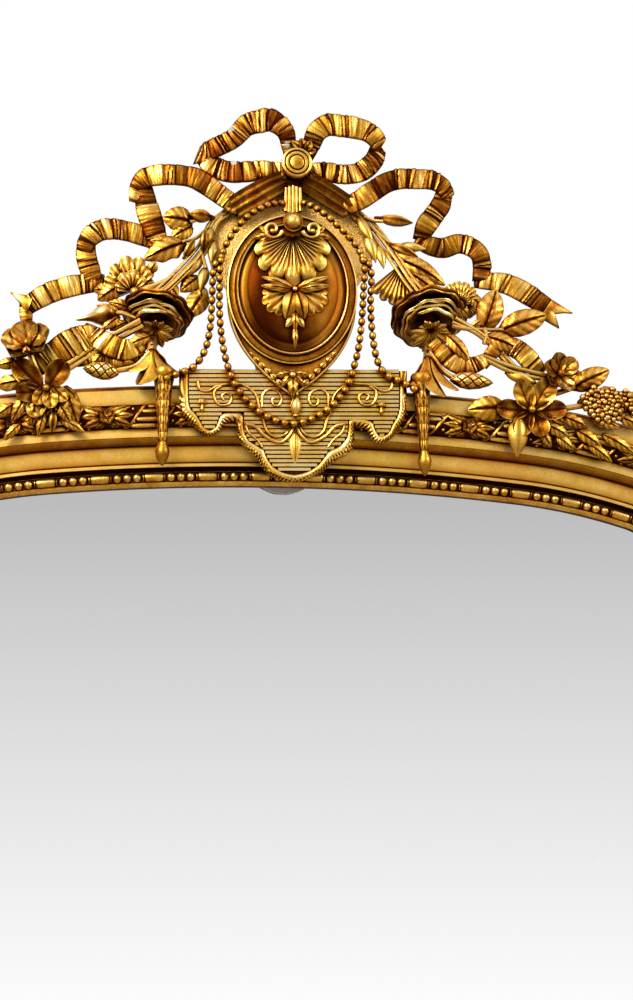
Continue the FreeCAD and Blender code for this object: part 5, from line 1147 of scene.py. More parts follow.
RIBBON_RIGHT = [
    [(339, 210, 0.44, 0.8), (358, 201, 0.48, 1.0), (372, 192, 0.50, 1.05), (386, 183, 0.52, 1.05),
     (400, 179, 0.53, 1.05), (416, 179, 0.53, 1.05), (431, 180, 0.51, 1.0), (442, 186, 0.47, 0.9),
     (449, 198, 0.44, 0.7)],
    [(446, 186, 0.41, 0.8), (441, 204, 0.43, 1.0), (434, 215, 0.45, 1.05), (426, 226, 0.46, 1.05),
     (420, 241, 0.44, 0.8)],
    [(416, 238, 0.42, 0.7), (428, 245, 0.44, 0.95), (443, 248, 0.46, 1.05), (457, 244, 0.47, 1.0),
     (469, 246, 0.47, 1.0), (479, 254, 0.46, 0.95), (482, 266, 0.44, 0.95), (480, 282, 0.42, 0.8)],
    [(474, 281, 0.39, 0.7), (497, 282, 0.43, 1.0), (512, 286, 0.46, 1.1), (527, 294, 0.47, 1.1),
     (541, 303, 0.46, 1.0), (553, 310, 0.44, 0.85)],
]
RIBBON_ENDS = {
    "left": ([(33, 296.5), (27, 312)], [(10.5, 292), (15, 297), (20, 303), (24, 310), (27, 316)]),
    "right": (
        [(552, 299.5), (540, 317)], [(573, 313), (565, 312.5), (555, 313.5), (557, 320), (559.5, 328)])}


def ribbon_end(start, tips):
    """A cut end of ribbon: from the two edges of the strip to a row of places along its cut."""
    u = np.linspace(0, 1, 10)
    v = np.linspace(0, 1, 21)
    ends = np.stack([np.interp(v, np.linspace(0, 1, len(tips)), np.array(tips)[:, i]) for i in (0, 1)], 1)
    starts = np.array(start[0]) + (np.array(start[1]) - start[0]) * v[:, None]
    front = np.array([[spot(*(a + (b - a) * share), 47 - 4 * share + 2.5 * math.sin(math.pi * w))
                       for w, a, b in zip(v, starts, ends)] for share in u])
    back = front + np.array([0, 0.005, 0])
    # Painted shade at the strip's edges and cut end, and bands of shade along it.
    hollow = (0.15 + 0.45 * np.abs(2 * v - 1)[None, :] ** 8 + 0.2 * np.sin(6 * u)[:, None]
              + 0.4 * (u[:, None] > 0.95))
    return sheet_shape(front, back, hollow)


TAIL_PITCH = (3.8, 27.0)
for side, bands in (("left", RIBBON_LEFT), ("right", RIBBON_RIGHT)):
    shapes = [pleated(rows, 0.9, 31 + i + 9 * (side == "right"), TAIL_PITCH) for i, rows in enumerate(bands)]
    carve("ribbon_%s_pleated" % side, shapes + [ribbon_end(*RIBBON_ENDS[side])], "ribbon_" + side)

# Roses: two full blown flowers at the ends of the sprays, looking down: a saucer of outer petals round a
# bell of folded ones, with fluted stamens in it. Each is carved in one and pegged to its stalk.
ROSES = {"left": ((155, 323, 62), (-0.16, -0.52, -0.84), 0.0445, 1),
         "right": ((431, 325, 60), (0.06, -0.62, -0.78), 0.0490, -1)}
PETAL_THICK, SAUCER_FOOT = 0.0026, 0.3


def bowl_petal(middle, axis, radius, turn_deg, span_deg, foot, rim, lip):
    """One broad petal of a bowl: foot and rim are shares of the radius out and ahead, its lip rolls back."""
    across = unit(np.cross(axis, (0.0, 0.0, 1.0)))
    up = np.cross(across, axis)
    u = np.linspace(0, 1, 22)[:, None]
    a = np.linspace(-1, 1, 33)[None, :]
    run = u * (1 - 0.24 * np.abs(a) ** 2.6)
    wall = np.clip(run / 0.82, 0, 1)
    turn = math.radians(turn_deg) + math.radians(span_deg) * a
    out = foot[0] + (rim[0] - foot[0]) * np.sin(math.pi / 2 * wall) ** 0.9
    out = out * (1 + 0.04 * np.sin(2.5 * math.pi * a + turn_deg) * run) + lip * smooth(0.72, 1.0, run)
    ahead = foot[1] + (rim[1] - foot[1]) * wall ** 1.5 - 0.9 * lip * smooth(0.84, 1.0, run)
    spoke = across * np.sin(turn)[..., None] + up * np.cos(turn)[..., None]
    inner = middle + axis * (ahead * radius)[..., None] + spoke * (out * radius - PETAL_THICK)[..., None]
    outer = middle + axis * (ahead * radius - 0.0010)[..., None] + spoke * (out * radius)[..., None]
    # Painted shade deep in each petal, a painted highlight along its rolled rim and faint bands across;
    # outside, the saucer petals are in painted shade and the rims get a painted highlight.
    hollow = 0.06 + 0.3 * (1 - run) ** 1.5 - 0.3 * smooth(0.86, 0.97, run) + 0.08 * np.sin(9 * a + 4 * run)
    outside = ((0.8 if foot[0] > SAUCER_FOOT else 0.0) + 0.30 * (1 - run) - 0.4 * smooth(0.84, 0.97, run)
               + 0.10 * np.sin(7 * a + 5 * run))
    return sheet_shape(inner, outer, hollow, outside.reshape(-1))


ROSE_PETALS = [
    (0, 50, 0.35, -0.38, 1.05, -0.22, 0.10), (70, 48, 0.35, -0.36, 1.02, -0.27, 0.12),
    (-70, 48, 0.35, -0.36, 1.04, -0.25, 0.10), (143, 46, 0.35, -0.34, 0.97, -0.20, 0.10),
    (-143, 46, 0.35, -0.34, 0.97, -0.22, 0.10), (38, 66, 0.2, -0.34, 0.88, -0.04, 0.03),
    (-42, 60, 0.2, -0.34, 0.85, -0.01, 0.02), (112, 50, 0.2, -0.32, 0.86, -0.03, 0.02),
    (-114, 50, 0.2, -0.32, 0.84, -0.01, 0.02), (-4, 78, 0.2, -0.30, 0.78, 0.06, 0.0),
    (98, 54, 0.2, -0.30, 0.79, 0.05, 0.0), (-100, 54, 0.2, -0.30, 0.77, 0.05, 0.0),
    (180, 70, 0.2, -0.26, 0.80, 0.02, 0.04), (20, 70, 0.2, -0.20, 0.69, 0.13, -0.03)]


def full_rose(middle, axis, radius, hand):
    """A saucer of broad petals, a bell of folded ones inside it and a ring of fluted stamens."""
    axis = unit(np.array(axis, float))
    across = unit(np.cross(axis, (0.0, 0.0, 1.0)))
    up = np.cross(across, axis)
    shapes = []
    for turn, span, foot, foot_ahead, rim, rim_ahead, lip in ROSE_PETALS:
        shapes.append(bowl_petal(
            middle, axis, radius, hand * turn, span, (foot, foot_ahead), (rim, rim_ahead), lip))
    heart = middle - up * radius * 0.12
    chance = np.random.default_rng(17)
    for turn_deg in np.arange(-165, 180, 25.0):
        turn = math.radians(180 + turn_deg + chance.uniform(-8, 8))
        out = across * math.sin(turn) + up * math.cos(turn)
        long = (0.70 - 0.24 * abs(turn_deg) / 180) * chance.uniform(0.78, 1.1)
        tip = heart + out * radius * long + axis * radius * chance.uniform(0.16, 0.32)
        # The stamens are painted lighter all over, a painted highlight.
        shapes.append(blade(
            heart + out * radius * 0.05 + axis * radius * 0.06, tip,
            radius * chance.uniform(0.19, 0.29), axis, arch=0.18, cup=0.5, veins=0, rib=0.25, thick=0.003,
            peak=1.35, blunt=0.7, dark=-0.5, along=11, across=7))
    # The ball deep in the bell is in painted shade.
    shapes.append(ball(middle - axis * radius * 0.34, radius * 0.30, axis, 14, 0.8))
    return shapes


for side, (middle, axis, radius, hand) in ROSES.items():
    carve("rose_%s_carved" % side, full_rose(spot(*middle), axis, radius, hand), "rose_" + side)

# Sprays: bundled stalks with leaves, buds and a ruffled pink that run out from the board behind the pearls.
# Carved in limewood with the grain along the stalks, which are glued to the board at their feet.
# The petal styles paint bright edges, a painted highlight; the shaded style paints the whole petal in shade.
LEAF_STYLES = {
    "broad": dict(peak=0.85, blunt=0.58, cup=0.16, veins=5, rib=0.1),
    "lobed": dict(peak=0.85, blunt=0.6, cup=0.18, veins=5, rib=0.12, notch=0.16, notches=3),
    "slim": dict(peak=0.8, blunt=0.8, cup=0.45, veins=0, rib=0.02, middle=0.2),
    "plain": dict(peak=0.8, blunt=0.7, cup=0.2, veins=6, rib=0.12),
    "petal": dict(peak=1.3, blunt=0.38, cup=-0.32, veins=3, rib=0.06, middle=0.3, rim=-0.3, arch=-0.10,
                  dark=0.08),
    "shaded": dict(peak=1.3, blunt=0.38, cup=-0.32, veins=2, rib=0.06, middle=0.2, rim=-0.5, arch=-0.10,
                   dark=0.42)}


def leaves(rows, widen=1.0):
    """Leaves from rows of foot, tip, width in millimetres and style."""
    return [blade(spot(*row[:3]), spot(*row[3:6]), row[6] * widen / 1000, thick=0.004, along=20, across=13,
                  **{"arch": 0.12, **LEAF_STYLES[row[7]]}) for row in rows]


BUD_OUTLINE = [
    (0.0, 0.08), (0.0, 0.28), (0.08, 0.42), (0.16, 0.40), (0.2, 0.55), (0.35, 0.88), (0.52, 1.0),
    (0.7, 0.88), (0.86, 0.52), (0.96, 0.2), (1.0, 0.05)]
PLUMP_OUTLINE = [
    (0.0, 0.1), (0.0, 0.3), (0.05, 0.55), (0.14, 0.86), (0.27, 1.0), (0.40, 0.93), (0.52, 0.68),
    (0.64, 0.40), (0.78, 0.24), (0.92, 0.15), (1.0, 0.04)]
# Painted shade at each bud's foot, waist and tip.
BUD_HOLLOWS = (0.8, 0.5, 0.2, 0.6, 0.2, 0, 0, 0, 0, 0.1, 0.3)
ROSEBUD = (116, 313, 66, 76, 320, 60, 15.5)


def buds(rows, outline=BUD_OUTLINE, flutes=4, dark=0.0):
    """Closed buds from rows of foot, tip and radius in millimetres."""
    hollows = [dark + hollow for hollow in BUD_HOLLOWS]
    return [turned(spot(*row[:3]), spot(*row[3:6]), [(a, r * row[6] / 1000) for a, r in outline], 24, 0.14,
                   flutes, hollows=hollows) for row in rows]


def spots(rows):
    """Places for several rows of column, row and distance forward."""
    return np.array([spot(*row[:3]) for row in rows])


SPRAY_STALKS = {
    "left": [
        [(228, 212, 35), (213, 222, 38), (201, 250, 46), (177, 276, 62), (155, 297, 72)],
        [(224, 211, 35), (209, 224, 38), (197, 248, 47), (173, 274, 62), (152, 294, 71)],
        [(231, 214, 35), (217, 224, 38), (205, 253, 46), (181, 279, 61), (159, 300, 72)],
        [(222, 216, 36), (213, 228, 40), (202, 252, 49), (178, 278, 65), (156, 298, 75)],
        [(206, 230, 42), (196, 238, 46), (182, 242, 49)], [(212, 219, 38), (204, 218, 43), (190, 222, 47)],
        [(200, 250, 48), (203, 258, 50), (206, 268, 51)]],
    "right": [
        [(355, 213, 35), (371, 227, 38), (389, 250, 46), (408, 279, 62), (426, 302, 73)],
        [(352, 216, 35), (367, 229, 38), (385, 252, 46), (404, 281, 62), (422, 304, 73)],
        [(359, 212, 35), (375, 225, 38), (393, 248, 46), (412, 277, 62), (430, 299, 73)],
        [(360, 218, 37), (374, 230, 40), (391, 252, 49), (410, 281, 65), (428, 304, 75)],
        [(364, 217, 38), (376, 221, 43), (390, 221, 47)], [(372, 228, 40), (384, 238, 45), (396, 248, 48)],
        [(386, 250, 47), (398, 262, 50), (414, 270, 53)]]}
SPRAY_LEAVES = {
    "left": [
        (193, 222, 43, 163, 217, 50, 30, "broad"), (192, 226, 43, 172, 238, 49, 20, "broad"),
        (186, 242, 47, 145, 259, 52, 29, "lobed"), (178, 246, 46, 150, 240, 49, 16, "plain"),
        (202, 256, 49, 186, 277, 56, 14, "slim"), (206, 266, 49, 200, 291, 55, 13, "slim"),
        (199, 277, 50, 181, 291, 55, 20, "broad"), (205, 291, 52, 188, 317, 58, 25, "broad"),
        (200, 285, 50, 203, 308, 55, 16, "plain"), (212, 226, 40, 204, 246, 50, 13, "slim"),
        (214, 240, 42, 211, 262, 50, 12, "slim"), (168, 285, 62, 178, 296, 68, 15, "plain"),
        (120, 286, 54, 98, 300, 52, 22, "lobed"), (112, 290, 54, 94, 290, 50, 18, "lobed"),
        (150, 272, 54, 156, 262, 56, 12, "plain")],
    "right": [
        (396, 258, 50, 445, 285, 57, 24, "plain"), (398, 246, 48, 426, 249, 54, 12, "slim"),
        (394, 251, 48, 416, 264, 54, 13, "slim"), (358, 217, 40, 373, 244, 47, 12, "slim"),
        (366, 232, 42, 376, 262, 50, 14, "slim"), (378, 244, 45, 384, 268, 52, 12, "slim"),
        (404, 270, 54, 440, 296, 60, 18, "plain"), (398, 272, 54, 430, 302, 62, 14, "slim"),
        (470, 296, 56, 484, 310, 56, 16, "lobed"), (452, 300, 58, 470, 318, 60, 14, "broad")]}
SPRAY_BUDS = {
    "left": [
        (214, 218, 40, 189, 214, 49, 10.5), (203, 253, 50, 205, 230, 52, 6.6),
        (183, 259, 54, 195, 239, 53, 7.0)],
    "right": [(374, 218, 41, 413, 223, 51, 9.0), (386, 243, 46, 418, 257, 53, 8.5)]}
PINK_PETALS = [
    (-94, 15, 25, 48), (-65, 15, 30, 50.5), (-37, 14, 33, 48.5), (-11, 14, 36, 51), (14, 14, 35, 48.5),
    (40, 15, 31, 50.5), (66, 14, 24, 48), (-70, 20, 18, 55), (-32, 20, 21, 56.5), (4, 20, 22, 55.5),
    (40, 20, 19, 56)]
SPRAY_FANS = {
    "left": [((132, 291), turn, spread, reach, 1, front, 5.0, 6.0)
             for turn, spread, reach, front in PINK_PETALS],
    "right": [((403, 262), 186, 46, 43, 6, 50, 5.0, 6.0), ((459, 303), 8, 80, 22, 6, 54, 5.0, 6.0),
              ((459, 303), 12, 85, 13, 6, 58, 4.0, 6.0), ((466, 305), 110, 55, 14, 4, 54, 4.0, 6.0)]}
SPRAY_KNOBS = {"left": (134.5, 292, 62, 0.0068), "right": (460, 303, 60, 0.0055)}
PINK_STALKS = {"left": [(176, 277, 60), (156, 286, 58), (140, 290, 56)],
               "right": [(408, 280, 62), (436, 296, 58), (456, 300, 56)]}
SPRAY_STALK_RADIUS, PINK_STALK_RADIUS, SPRAY_WIDENING = 0.0027, 0.005, 1.25
for side, lines in SPRAY_STALKS.items():
    shapes = [stalk(spots(line), SPRAY_STALK_RADIUS, 9, step=0.005) for line in lines]
    shapes += leaves(SPRAY_LEAVES[side], SPRAY_WIDENING) + buds(SPRAY_BUDS[side])
    # The rosebud is painted lighter all over, a painted highlight on its smooth body.
    shapes += buds([ROSEBUD], PLUMP_OUTLINE, 3, -0.4) if side == "left" else []
    shapes += [fan(*row, flutes=2, side_share=0.94, fine=14, swell=0.05, plain_from=0.95, round_by=0.4)
               for row in SPRAY_FANS[side]]
    column, row, front, radius = SPRAY_KNOBS[side]
    shapes.append(ball(spot(column, row, front), radius, sides=16))
    shapes.append(stalk(spots(PINK_STALKS[side]), PINK_STALK_RADIUS, 9, step=0.005))
    carve("spray_%s_carved" % side, shapes, "spray_" + side)

# Lambrequin: a scalloped apron hung over the crown moulding, its field ruled like silk, with scrolls, a
# long leaf and a fringed border. Cut from a thin board and pinned to a block on the frame's edge.
APRON_EDGE = [
    (179, 369), (179, 395), (180, 412), (186, 419), (192, 425), (200, 434), (210, 437.5), (220, 432),
    (225, 423.5), (230, 421.5), (236, 421.5), (236.5, 434), (241, 445), (250, 453), (258, 459), (261, 467),
    (268, 475), (280, 481), (295, 483), (310, 479.5), (322, 473), (328, 467), (336, 461), (348, 455),
    (354, 446), (355, 435), (354.5, 426.5), (361, 426.5), (367, 430), (370, 437), (375, 442), (382, 443.5),
    (392, 439), (398, 429), (404, 420), (406.5, 410), (407, 395), (407, 371)]
FIELD_EDGE = [
    (189, 369), (189, 395), (190, 407), (196, 413), (200, 419), (204, 427), (210, 430), (216, 426),
    (219, 416), (224, 412), (244, 412), (244.5, 431), (249, 440), (257, 444.5), (264, 448.5), (267, 457),
    (273, 466), (283, 472), (295, 474.5), (308, 471), (318, 464.5), (323, 458), (329, 450), (339, 446),
    (346, 438), (347.5, 430), (348, 418.5), (364, 418.5), (373, 421), (376, 430), (379, 435), (383, 436),
    (389, 432), (392, 424), (397, 416), (399, 408), (399, 395), (399, 371)]
RULE_PITCH, RULE_HALF, FRINGE_PITCH = 4.25, 1.84, 3.4
APRON_LINE = 295.2


def plate_shape(outline, back, front, hollow):
    """A flat board with a drawn outline."""
    return ring_stack([np.array([spot(*p, f) for p in outline]) for f in (back, front)], [1.0, hollow])


def crossings(outline, row):
    """Where a level line crosses an outline, from left to right."""
    found = []
    for (c0, r0), (c1, r1) in zip(outline, outline[1:] + outline[:1]):
        if (r0 - row) * (r1 - row) < 0:
            found.append(c0 + (c1 - c0) * (row - r0) / (r1 - r0))
    return sorted(found)


def fringe_band():
    """The border between the apron's edge and its field: a soft roll, nicked outside like a fringe."""
    at = np.arange(0, len(APRON_EDGE) - 1 + 1e-6, 0.125)
    outer, inner = (
        np.stack([np.interp(at, np.arange(len(rows)), np.array(rows)[:, i]) for i in (0, 1)], 1)
        for rows in (APRON_EDGE, FIELD_EDGE))
    for rows in (outer, inner):
        rows[2:-2] = sum(rows[i:len(rows) - 4 + i] for i in range(5)) / 5
    reach = run_lengths(outer)[:, None]
    v = np.linspace(0, 1, 11)[None, :]
    side = np.where(reach < reach[-1] / 2, 1.0, -1.0)
    nick = 0.5 - 0.5 * np.cos(2 * math.pi * (reach / FRINGE_PITCH + 1.3 * side * v))
    nick = nick ** 3 * (1 - smooth(0.25, 0.75, v))
    front = 84.6 + 4.4 * np.sin(math.pi * np.clip(v, 0.02, 1)) ** 0.55 - 1.6 * nick
    flat = outer[:, None] + (inner - outer)[:, None] * v[..., None]
    flat = flat + (inner - outer)[:, None] * (0.10 * nick * (1 - v))[..., None]
    grid = np.array([[spot(*p, f) for p, f in zip(*row)] for row in zip(flat, front)])
    back = np.array([[spot(*p, 79) for p in row] for row in flat])
    # Painted shade in the fringe's nicks and along the border's inner edge; a slow wave of tone along it.
    hollow = 0.7 * nick + 0.9 * smooth(0.92, 1.0, v) + 0.12 * np.sin(reach / 9)
    return sheet_shape(grid, back, hollow)


FIELD_LEVELS, BLOCK_LEVELS = (78.4, 84.9), (30.5, 79)
BLOCK_EDGE = [(190, 370), (398, 370), (398, 410), (190, 410)]
# The field between the rules and the block behind are in painted shade, the backs darker still.
apron_shapes = [plate_shape(FIELD_EDGE, *FIELD_LEVELS, 0.6), fringe_band(),
                plate_shape(BLOCK_EDGE, *BLOCK_LEVELS, 0.5)]
FIRST_RULE, LAST_RULE, SHORTEST_RULE = 371.43, 473, 4
# Each rule: painted shade at its foot, a painted highlight on its top.
RULE_LEVELS = ((83.0, RULE_HALF, 0.55), (86.6, RULE_HALF, 0.08), (87.4, RULE_HALF - 0.45, -0.10))
for row in np.arange(FIRST_RULE, LAST_RULE, RULE_PITCH):
    cuts = crossings(FIELD_EDGE, row)
    for left, right in zip(cuts[::2], cuts[1::2]):
        if right - left > SHORTEST_RULE:
            rings = [[spot(left, row - half, front), spot(right, row - half, front),
                      spot(right, row + half, front), spot(left, row + half, front)]
                     for front, half, _ in RULE_LEVELS]
            apron_shapes.append(ring_stack(rings, [hollow for _, _, hollow in RULE_LEVELS]))
SWIRLS = [
    (1.9, [(97.5, 381), (95.5, 389), (87.5, 391), (77.5, 386), (65.5, 384), (51.5, 385), (39.5, 395),
           (35.5, 411), (31.5, 421)]),
    (1.8, [(74, 386), (80.5, 391), (80.5, 399), (75.5, 405), (66.5, 404), (63.5, 397), (68.5, 393),
           (73.5, 396), (71.5, 400)]),
    (1.8, [(33.5, 407), (32.5, 395), (25.5, 389), (16.5, 392), (13.5, 400), (17.5, 406), (22.5, 404),
           (22.5, 399), (19.5, 398)]),
    (2.7, [(49.5, 424), (39.5, 427), (31.5, 435), (21.5, 441), (13.5, 442), (5.5, 435), (1.5, 427)]),
    (2.0, [(31.5, 419), (28.5, 431), (19.5, 437), (9.5, 434), (4.5, 427)]),
    (1.6, [(49.5, 424), (47, 432), (38, 440), (33, 447)])]
TASSEL = [(0, 0.0008), (0.05, 0.0038), (0.3, 0.0066), (0.36, 0.0058), (0.4, 0.0020), (0.62, 0.0018),
          (0.8, 0.0030), (1, 0.0006)]
TASSEL_TOPS, TASSEL_LENGTH, SCROLL_FRONT = {-1: (93.2, 399), 1: (86.0, 402)}, 13, 88.2
# The last number of each long leaf is painted shade.
LONG_LEAF = ((18.0, 426, 466, 86.6, 0.0), (8.0, 432, 458, 88.6, 0.1))
for hand in (-1, 1):
    for radius, rows in SWIRLS:
        line = [spot(APRON_LINE + hand * c, r, SCROLL_FRONT) for c, r in rows]
        radii = np.linspace(radius, radius * 0.8, len(line)) / 1000
        apron_shapes.append(stalk(line, radii, 8, step=0.0025, hollow=0.06))
    out, top = TASSEL_TOPS[hand]
    middle = APRON_LINE + hand * out
    foot = spot(middle, top + TASSEL_LENGTH, SCROLL_FRONT)
    apron_shapes.append(turned(spot(middle, top, SCROLL_FRONT), foot, TASSEL, 12))
for width, top, low, front, dark in LONG_LEAF:
    apron_shapes.append(blade(
        spot(APRON_LINE, top, front), spot(APRON_LINE, low, front), width / 1000, arch=0.04, cup=0.25,
        veins=0, thick=0.003, middle=0.5, dark=dark))
PENDANT = [(0, 0.0010), (0.06, 0.0036), (0.2, 0.0040), (0.26, 0.0018), (0.36, 0.0045), (0.55, 0.0076),
           (0.75, 0.0066), (0.88, 0.0030), (0.93, 0.0036), (1.0, 0.0010)]
PENDANT_ENDS = [(295.8, 389, 92), (295.8, 418, 92)]
apron_shapes.append(turned(*spots(PENDANT_ENDS), PENDANT, 16))
carve("lambrequin_fringed", apron_shapes, "lambrequin", raw_behind=(80.0, CROWN_HEIGHT + 0.03))

# Lower sprigs: a stalk wound about with narrow ribbon, from each rose to the flowers on the shoulder.
# The right one carries two broad leaves. Carved in one strip and glued to rose and moulding.
TWISTS = {
    "left": [
        [(36, 367, 0.70, 1.0), (56, 353, 0.72, 1.3), (70, 344, 0.74, 1.4), (84, 338, 0.74, 1.3),
         (97, 334, 0.72, 0.9)],
        [(82, 327, 0.70, 0.6), (98, 338, 0.74, 1.0), (112, 346, 0.77, 1.1), (127, 350, 0.76, 1.05),
         (139, 345, 0.72, 0.85), (147, 334, 0.70, 0.6)],
        [(76, 362, 0.68, 0.5), (92, 358, 0.70, 0.8), (110, 361, 0.72, 0.85), (128, 362, 0.73, 0.8),
         (146, 352, 0.72, 0.5)]],
    "right": [
        [(431, 341, 0.70, 0.7), (448, 358, 0.75, 0.95), (463, 366, 0.77, 0.95), (477, 364, 0.74, 0.8),
         (490, 356, 0.70, 0.5)],
        [(483, 366, 0.70, 0.5), (494, 351, 0.72, 0.75), (507, 346, 0.74, 0.95), (520, 351, 0.76, 1.0),
         (531, 362, 0.76, 1.0), (542, 375, 0.72, 0.8)]]}
TWIST_STALKS = {"left": [(140, 322, 72), (105, 340, 70), (61, 368, 72)],
                "right": [(452, 322, 72), (485, 340, 70), (530, 392, 74)]}
TWIST_LEAVES = {
    "left": [
        (150, 336, 72, 128, 346, 75, 18, "broad"), (104, 352, 70, 92, 366, 74, 16, "lobed"),
        (120, 313, 67, 97, 305, 72, 13, "plain"), (120, 316, 67, 101, 331, 71, 14, "plain"),
        (132, 309, 62, 109, 302, 62, 17, "broad"), (128, 322, 66, 110, 330, 68, 15, "lobed")],
    "right": [
        (484, 330, 71, 496, 290, 67, 38, "broad"), (500, 331, 71, 546, 315, 68, 37, "broad"),
        (485, 336, 71, 520, 350, 76, 26, "plain"), (470, 328, 71, 486, 318, 70, 10, "plain"),
        (446, 334, 74, 470, 362, 78, 20, "plain"), (505, 372, 72, 538, 384, 78, 18, "slim")]}
TWIST_TWIGS = {
    "left": [
        [(136, 318, 70), (122, 313, 68), (110, 313, 66)], [(140, 320, 73), (101, 342, 72), (58, 371, 74)],
        [(143, 326, 71), (108, 345, 70), (64, 372, 73)]],
    "right": [
        [(452, 326, 72), (470, 329, 71), (503, 330, 70)], [(484, 344, 71), (486, 336, 71), (484, 328, 71)],
        [(455, 318, 72), (489, 340, 71), (534, 388, 75)], [(486, 360, 72), (512, 372, 75), (546, 380, 78)],
        [(484, 356, 72), (510, 366, 75), (548, 376, 78)]]}
TWIST_PITCH, TWIST_STALK_RADIUS = (3.4, 22.0), 0.0034
for side, bands in TWISTS.items():
    shapes = [pleated(rows, 0.7, 71 + i + 4 * (side == "right"), TWIST_PITCH, pleat_shade=0.3)
              for i, rows in enumerate(bands)]
    for line in [TWIST_STALKS[side]] + TWIST_TWIGS[side]:
        shapes.append(stalk(spots(line), TWIST_STALK_RADIUS, 9, step=0.005))
    carve("twist_%s_carved" % side, shapes + leaves(TWIST_LEAVES[side]), "twist_" + side)

# Bell flowers: each hangs under its rose with a fir cone bud beside it and lets fall a turned drop.
# The drops are carved with overlapping scales and end in a smooth bulb.
BELL_NECKS = {
    "left": [(153, 339, 58), (152, 344, 72), (152, 352, 82)],
    "right": [(428, 346, 58), (428, 351, 72), (428, 359, 83)]}
BELL_PETALS = {
    "left": [
        (152, 344, 80, 158, 373, 74, 34), (151, 344, 84, 141, 386, 91, 36),
        (153, 344, 83, 178, 378, 87, 34), (152, 344, 82, 131, 373, 84, 28)],
    "right": [
        (428, 350, 80, 430, 384, 74, 34), (428, 350, 85, 441, 399, 91, 36),
        (427, 350, 83, 410, 389, 86, 32), (429, 350, 82, 454, 393, 85, 30)]}
CONES = {"left": ((119, 373, 80), (83, 368, 80)), "right": ((450, 379, 80), (493, 383, 80))}
CONE_STALKS = {
    "left": [(150, 352, 82), (136, 366, 81), (116, 371, 80)],
    "right": [(429, 352, 82), (442, 370, 81), (456, 380, 80)]}
DROPS = {"left": ((164, 368, 84), (162, 466, 80)), "right": ((421, 374, 84), (425, 476, 80))}
CONE_RADIUS, CONE_STALK_RADIUS, DROP_RADIUS = 0.0125, 0.0038, 0.0160
NECK_RADII = (0.0048, 0.0062, 0.0070)
DROP_OUTLINE = [
    (0.0, 0.1), (0.0, 0.85), (0.03, 1.0), (0.06, 0.98), (0.10, 0.9), (0.14, 0.76), (0.2, 0.72),
    (0.30, 0.64), (0.4, 0.58), (0.5, 0.5), (0.62, 0.42), (0.7, 0.38), (0.75, 0.34), (0.78, 0.40),
    (0.82, 0.58), (0.86, 0.66), (0.9, 0.6), (0.94, 0.44), (0.98, 0.22), (1.0, 0.05)]


def scaly(start, end, outline, radius, rows, around, raise_share):
    """A cone covered in overlapping pointed scales, with painted shade in the furrows between them."""
    start, end = np.array(start), np.array(end)
    way = unit(end - start)
    side = unit(np.cross(way, FORWARD))
    face = np.cross(side, way)
    shares, radii = np.array(outline).T
    sides, steps = around * 10, rows * 12 + 1
    rings, marks = [], []
    for along in np.linspace(0.0, 1.0, steps):
        base = np.interp(along, shares, radii) * radius
        ring, mark = [], []
        for turn in np.linspace(0, 2 * math.pi, sides, endpoint=False):
            a = turn * around / (2 * math.pi)
            row = along * rows
            furrow = min(abs(math.sin(math.pi * (a / 2 + row))), abs(math.sin(math.pi * (a / 2 - row))))
            swell = float(smooth(0.0, 0.34, furrow))
            out = base * (1 - raise_share + raise_share * swell)
            ring.append(start + (end - start) * along + (side * math.cos(turn) + face * math.sin(turn)) * out)
            mark.append(0.95 * (1 - swell))
        rings.append(ring)
        marks.append(mark)
    return rings_shape(np.array(rings), np.array(marks))


CONE_OUTLINE = [(0.0, 0.2), (0.08, 0.5), (0.25, 0.88), (0.45, 1.0), (0.7, 0.8), (0.9, 0.42), (1.0, 0.06)]
SCALE_RINGS, SCALES_ROUND, SCALE_LENGTH = 8, 7, 0.14
for side in ("left", "right"):
    shapes = [stalk(spots(BELL_NECKS[side]), NECK_RADII, 14, step=0.003)]
    for *foot, tip_column, tip_row, tip_front, width in BELL_PETALS[side]:
        ahead = 0.6 if tip_front > 80 else -0.8
        out = unit(np.array([tip_column - foot[0], 0.0, 0.0]) * 0.05 + FORWARD * ahead)
        # Bell petals painted in shade all over, darker down the middle, with painted bright edges.
        shapes.append(blade(
            spot(*foot), spot(tip_column, tip_row, tip_front), width / 1000, out, arch=-0.05, cup=0.5,
            veins=0, rib=0.16, thick=0.003, peak=1.9, blunt=0.6, curl=0.12, middle=0.55, rim=-0.2,
            dark=0.3, along=22, across=13))
    shapes.append(scaly(*spots(CONES[side]), CONE_OUTLINE, CONE_RADIUS, 4, 10, 0.14))
    shapes.append(stalk(spots(CONE_STALKS[side]), CONE_STALK_RADIUS, 9, step=0.004))
    carve("bell_%s_carved" % side, shapes, "bell_" + side)
    top, low = spots(DROPS[side])
    shapes = [turned(top, low, [(a, r * DROP_RADIUS * 0.94) for a, r in DROP_OUTLINE], 24, hollow=0.25)]
    way = unit(low - top)
    across = unit(np.cross(way, FORWARD))
    face = np.cross(across, way)
    for level, share in enumerate(np.linspace(0.05, 0.62, SCALE_RINGS)):
        end = share + SCALE_LENGTH
        reach, end_reach = (np.interp(at, *np.array(DROP_OUTLINE).T) * DROP_RADIUS for at in (share, end))
        for index in range(SCALES_ROUND):
            turn = 2 * math.pi * (index + 0.5 * (level % 2)) / SCALES_ROUND
            out = across * math.sin(turn) + face * math.cos(turn)
            shapes.append(blade(
                top + (low - top) * share + out * reach * 0.8,
                top + (low - top) * end + out * end_reach * 1.02, reach, out, arch=0.05, cup=0.2,
                veins=0, rib=0.18, thick=0.0015, along=7, across=5))
    carve("drop_%s_carved" % side, shapes, "drop_" + side)

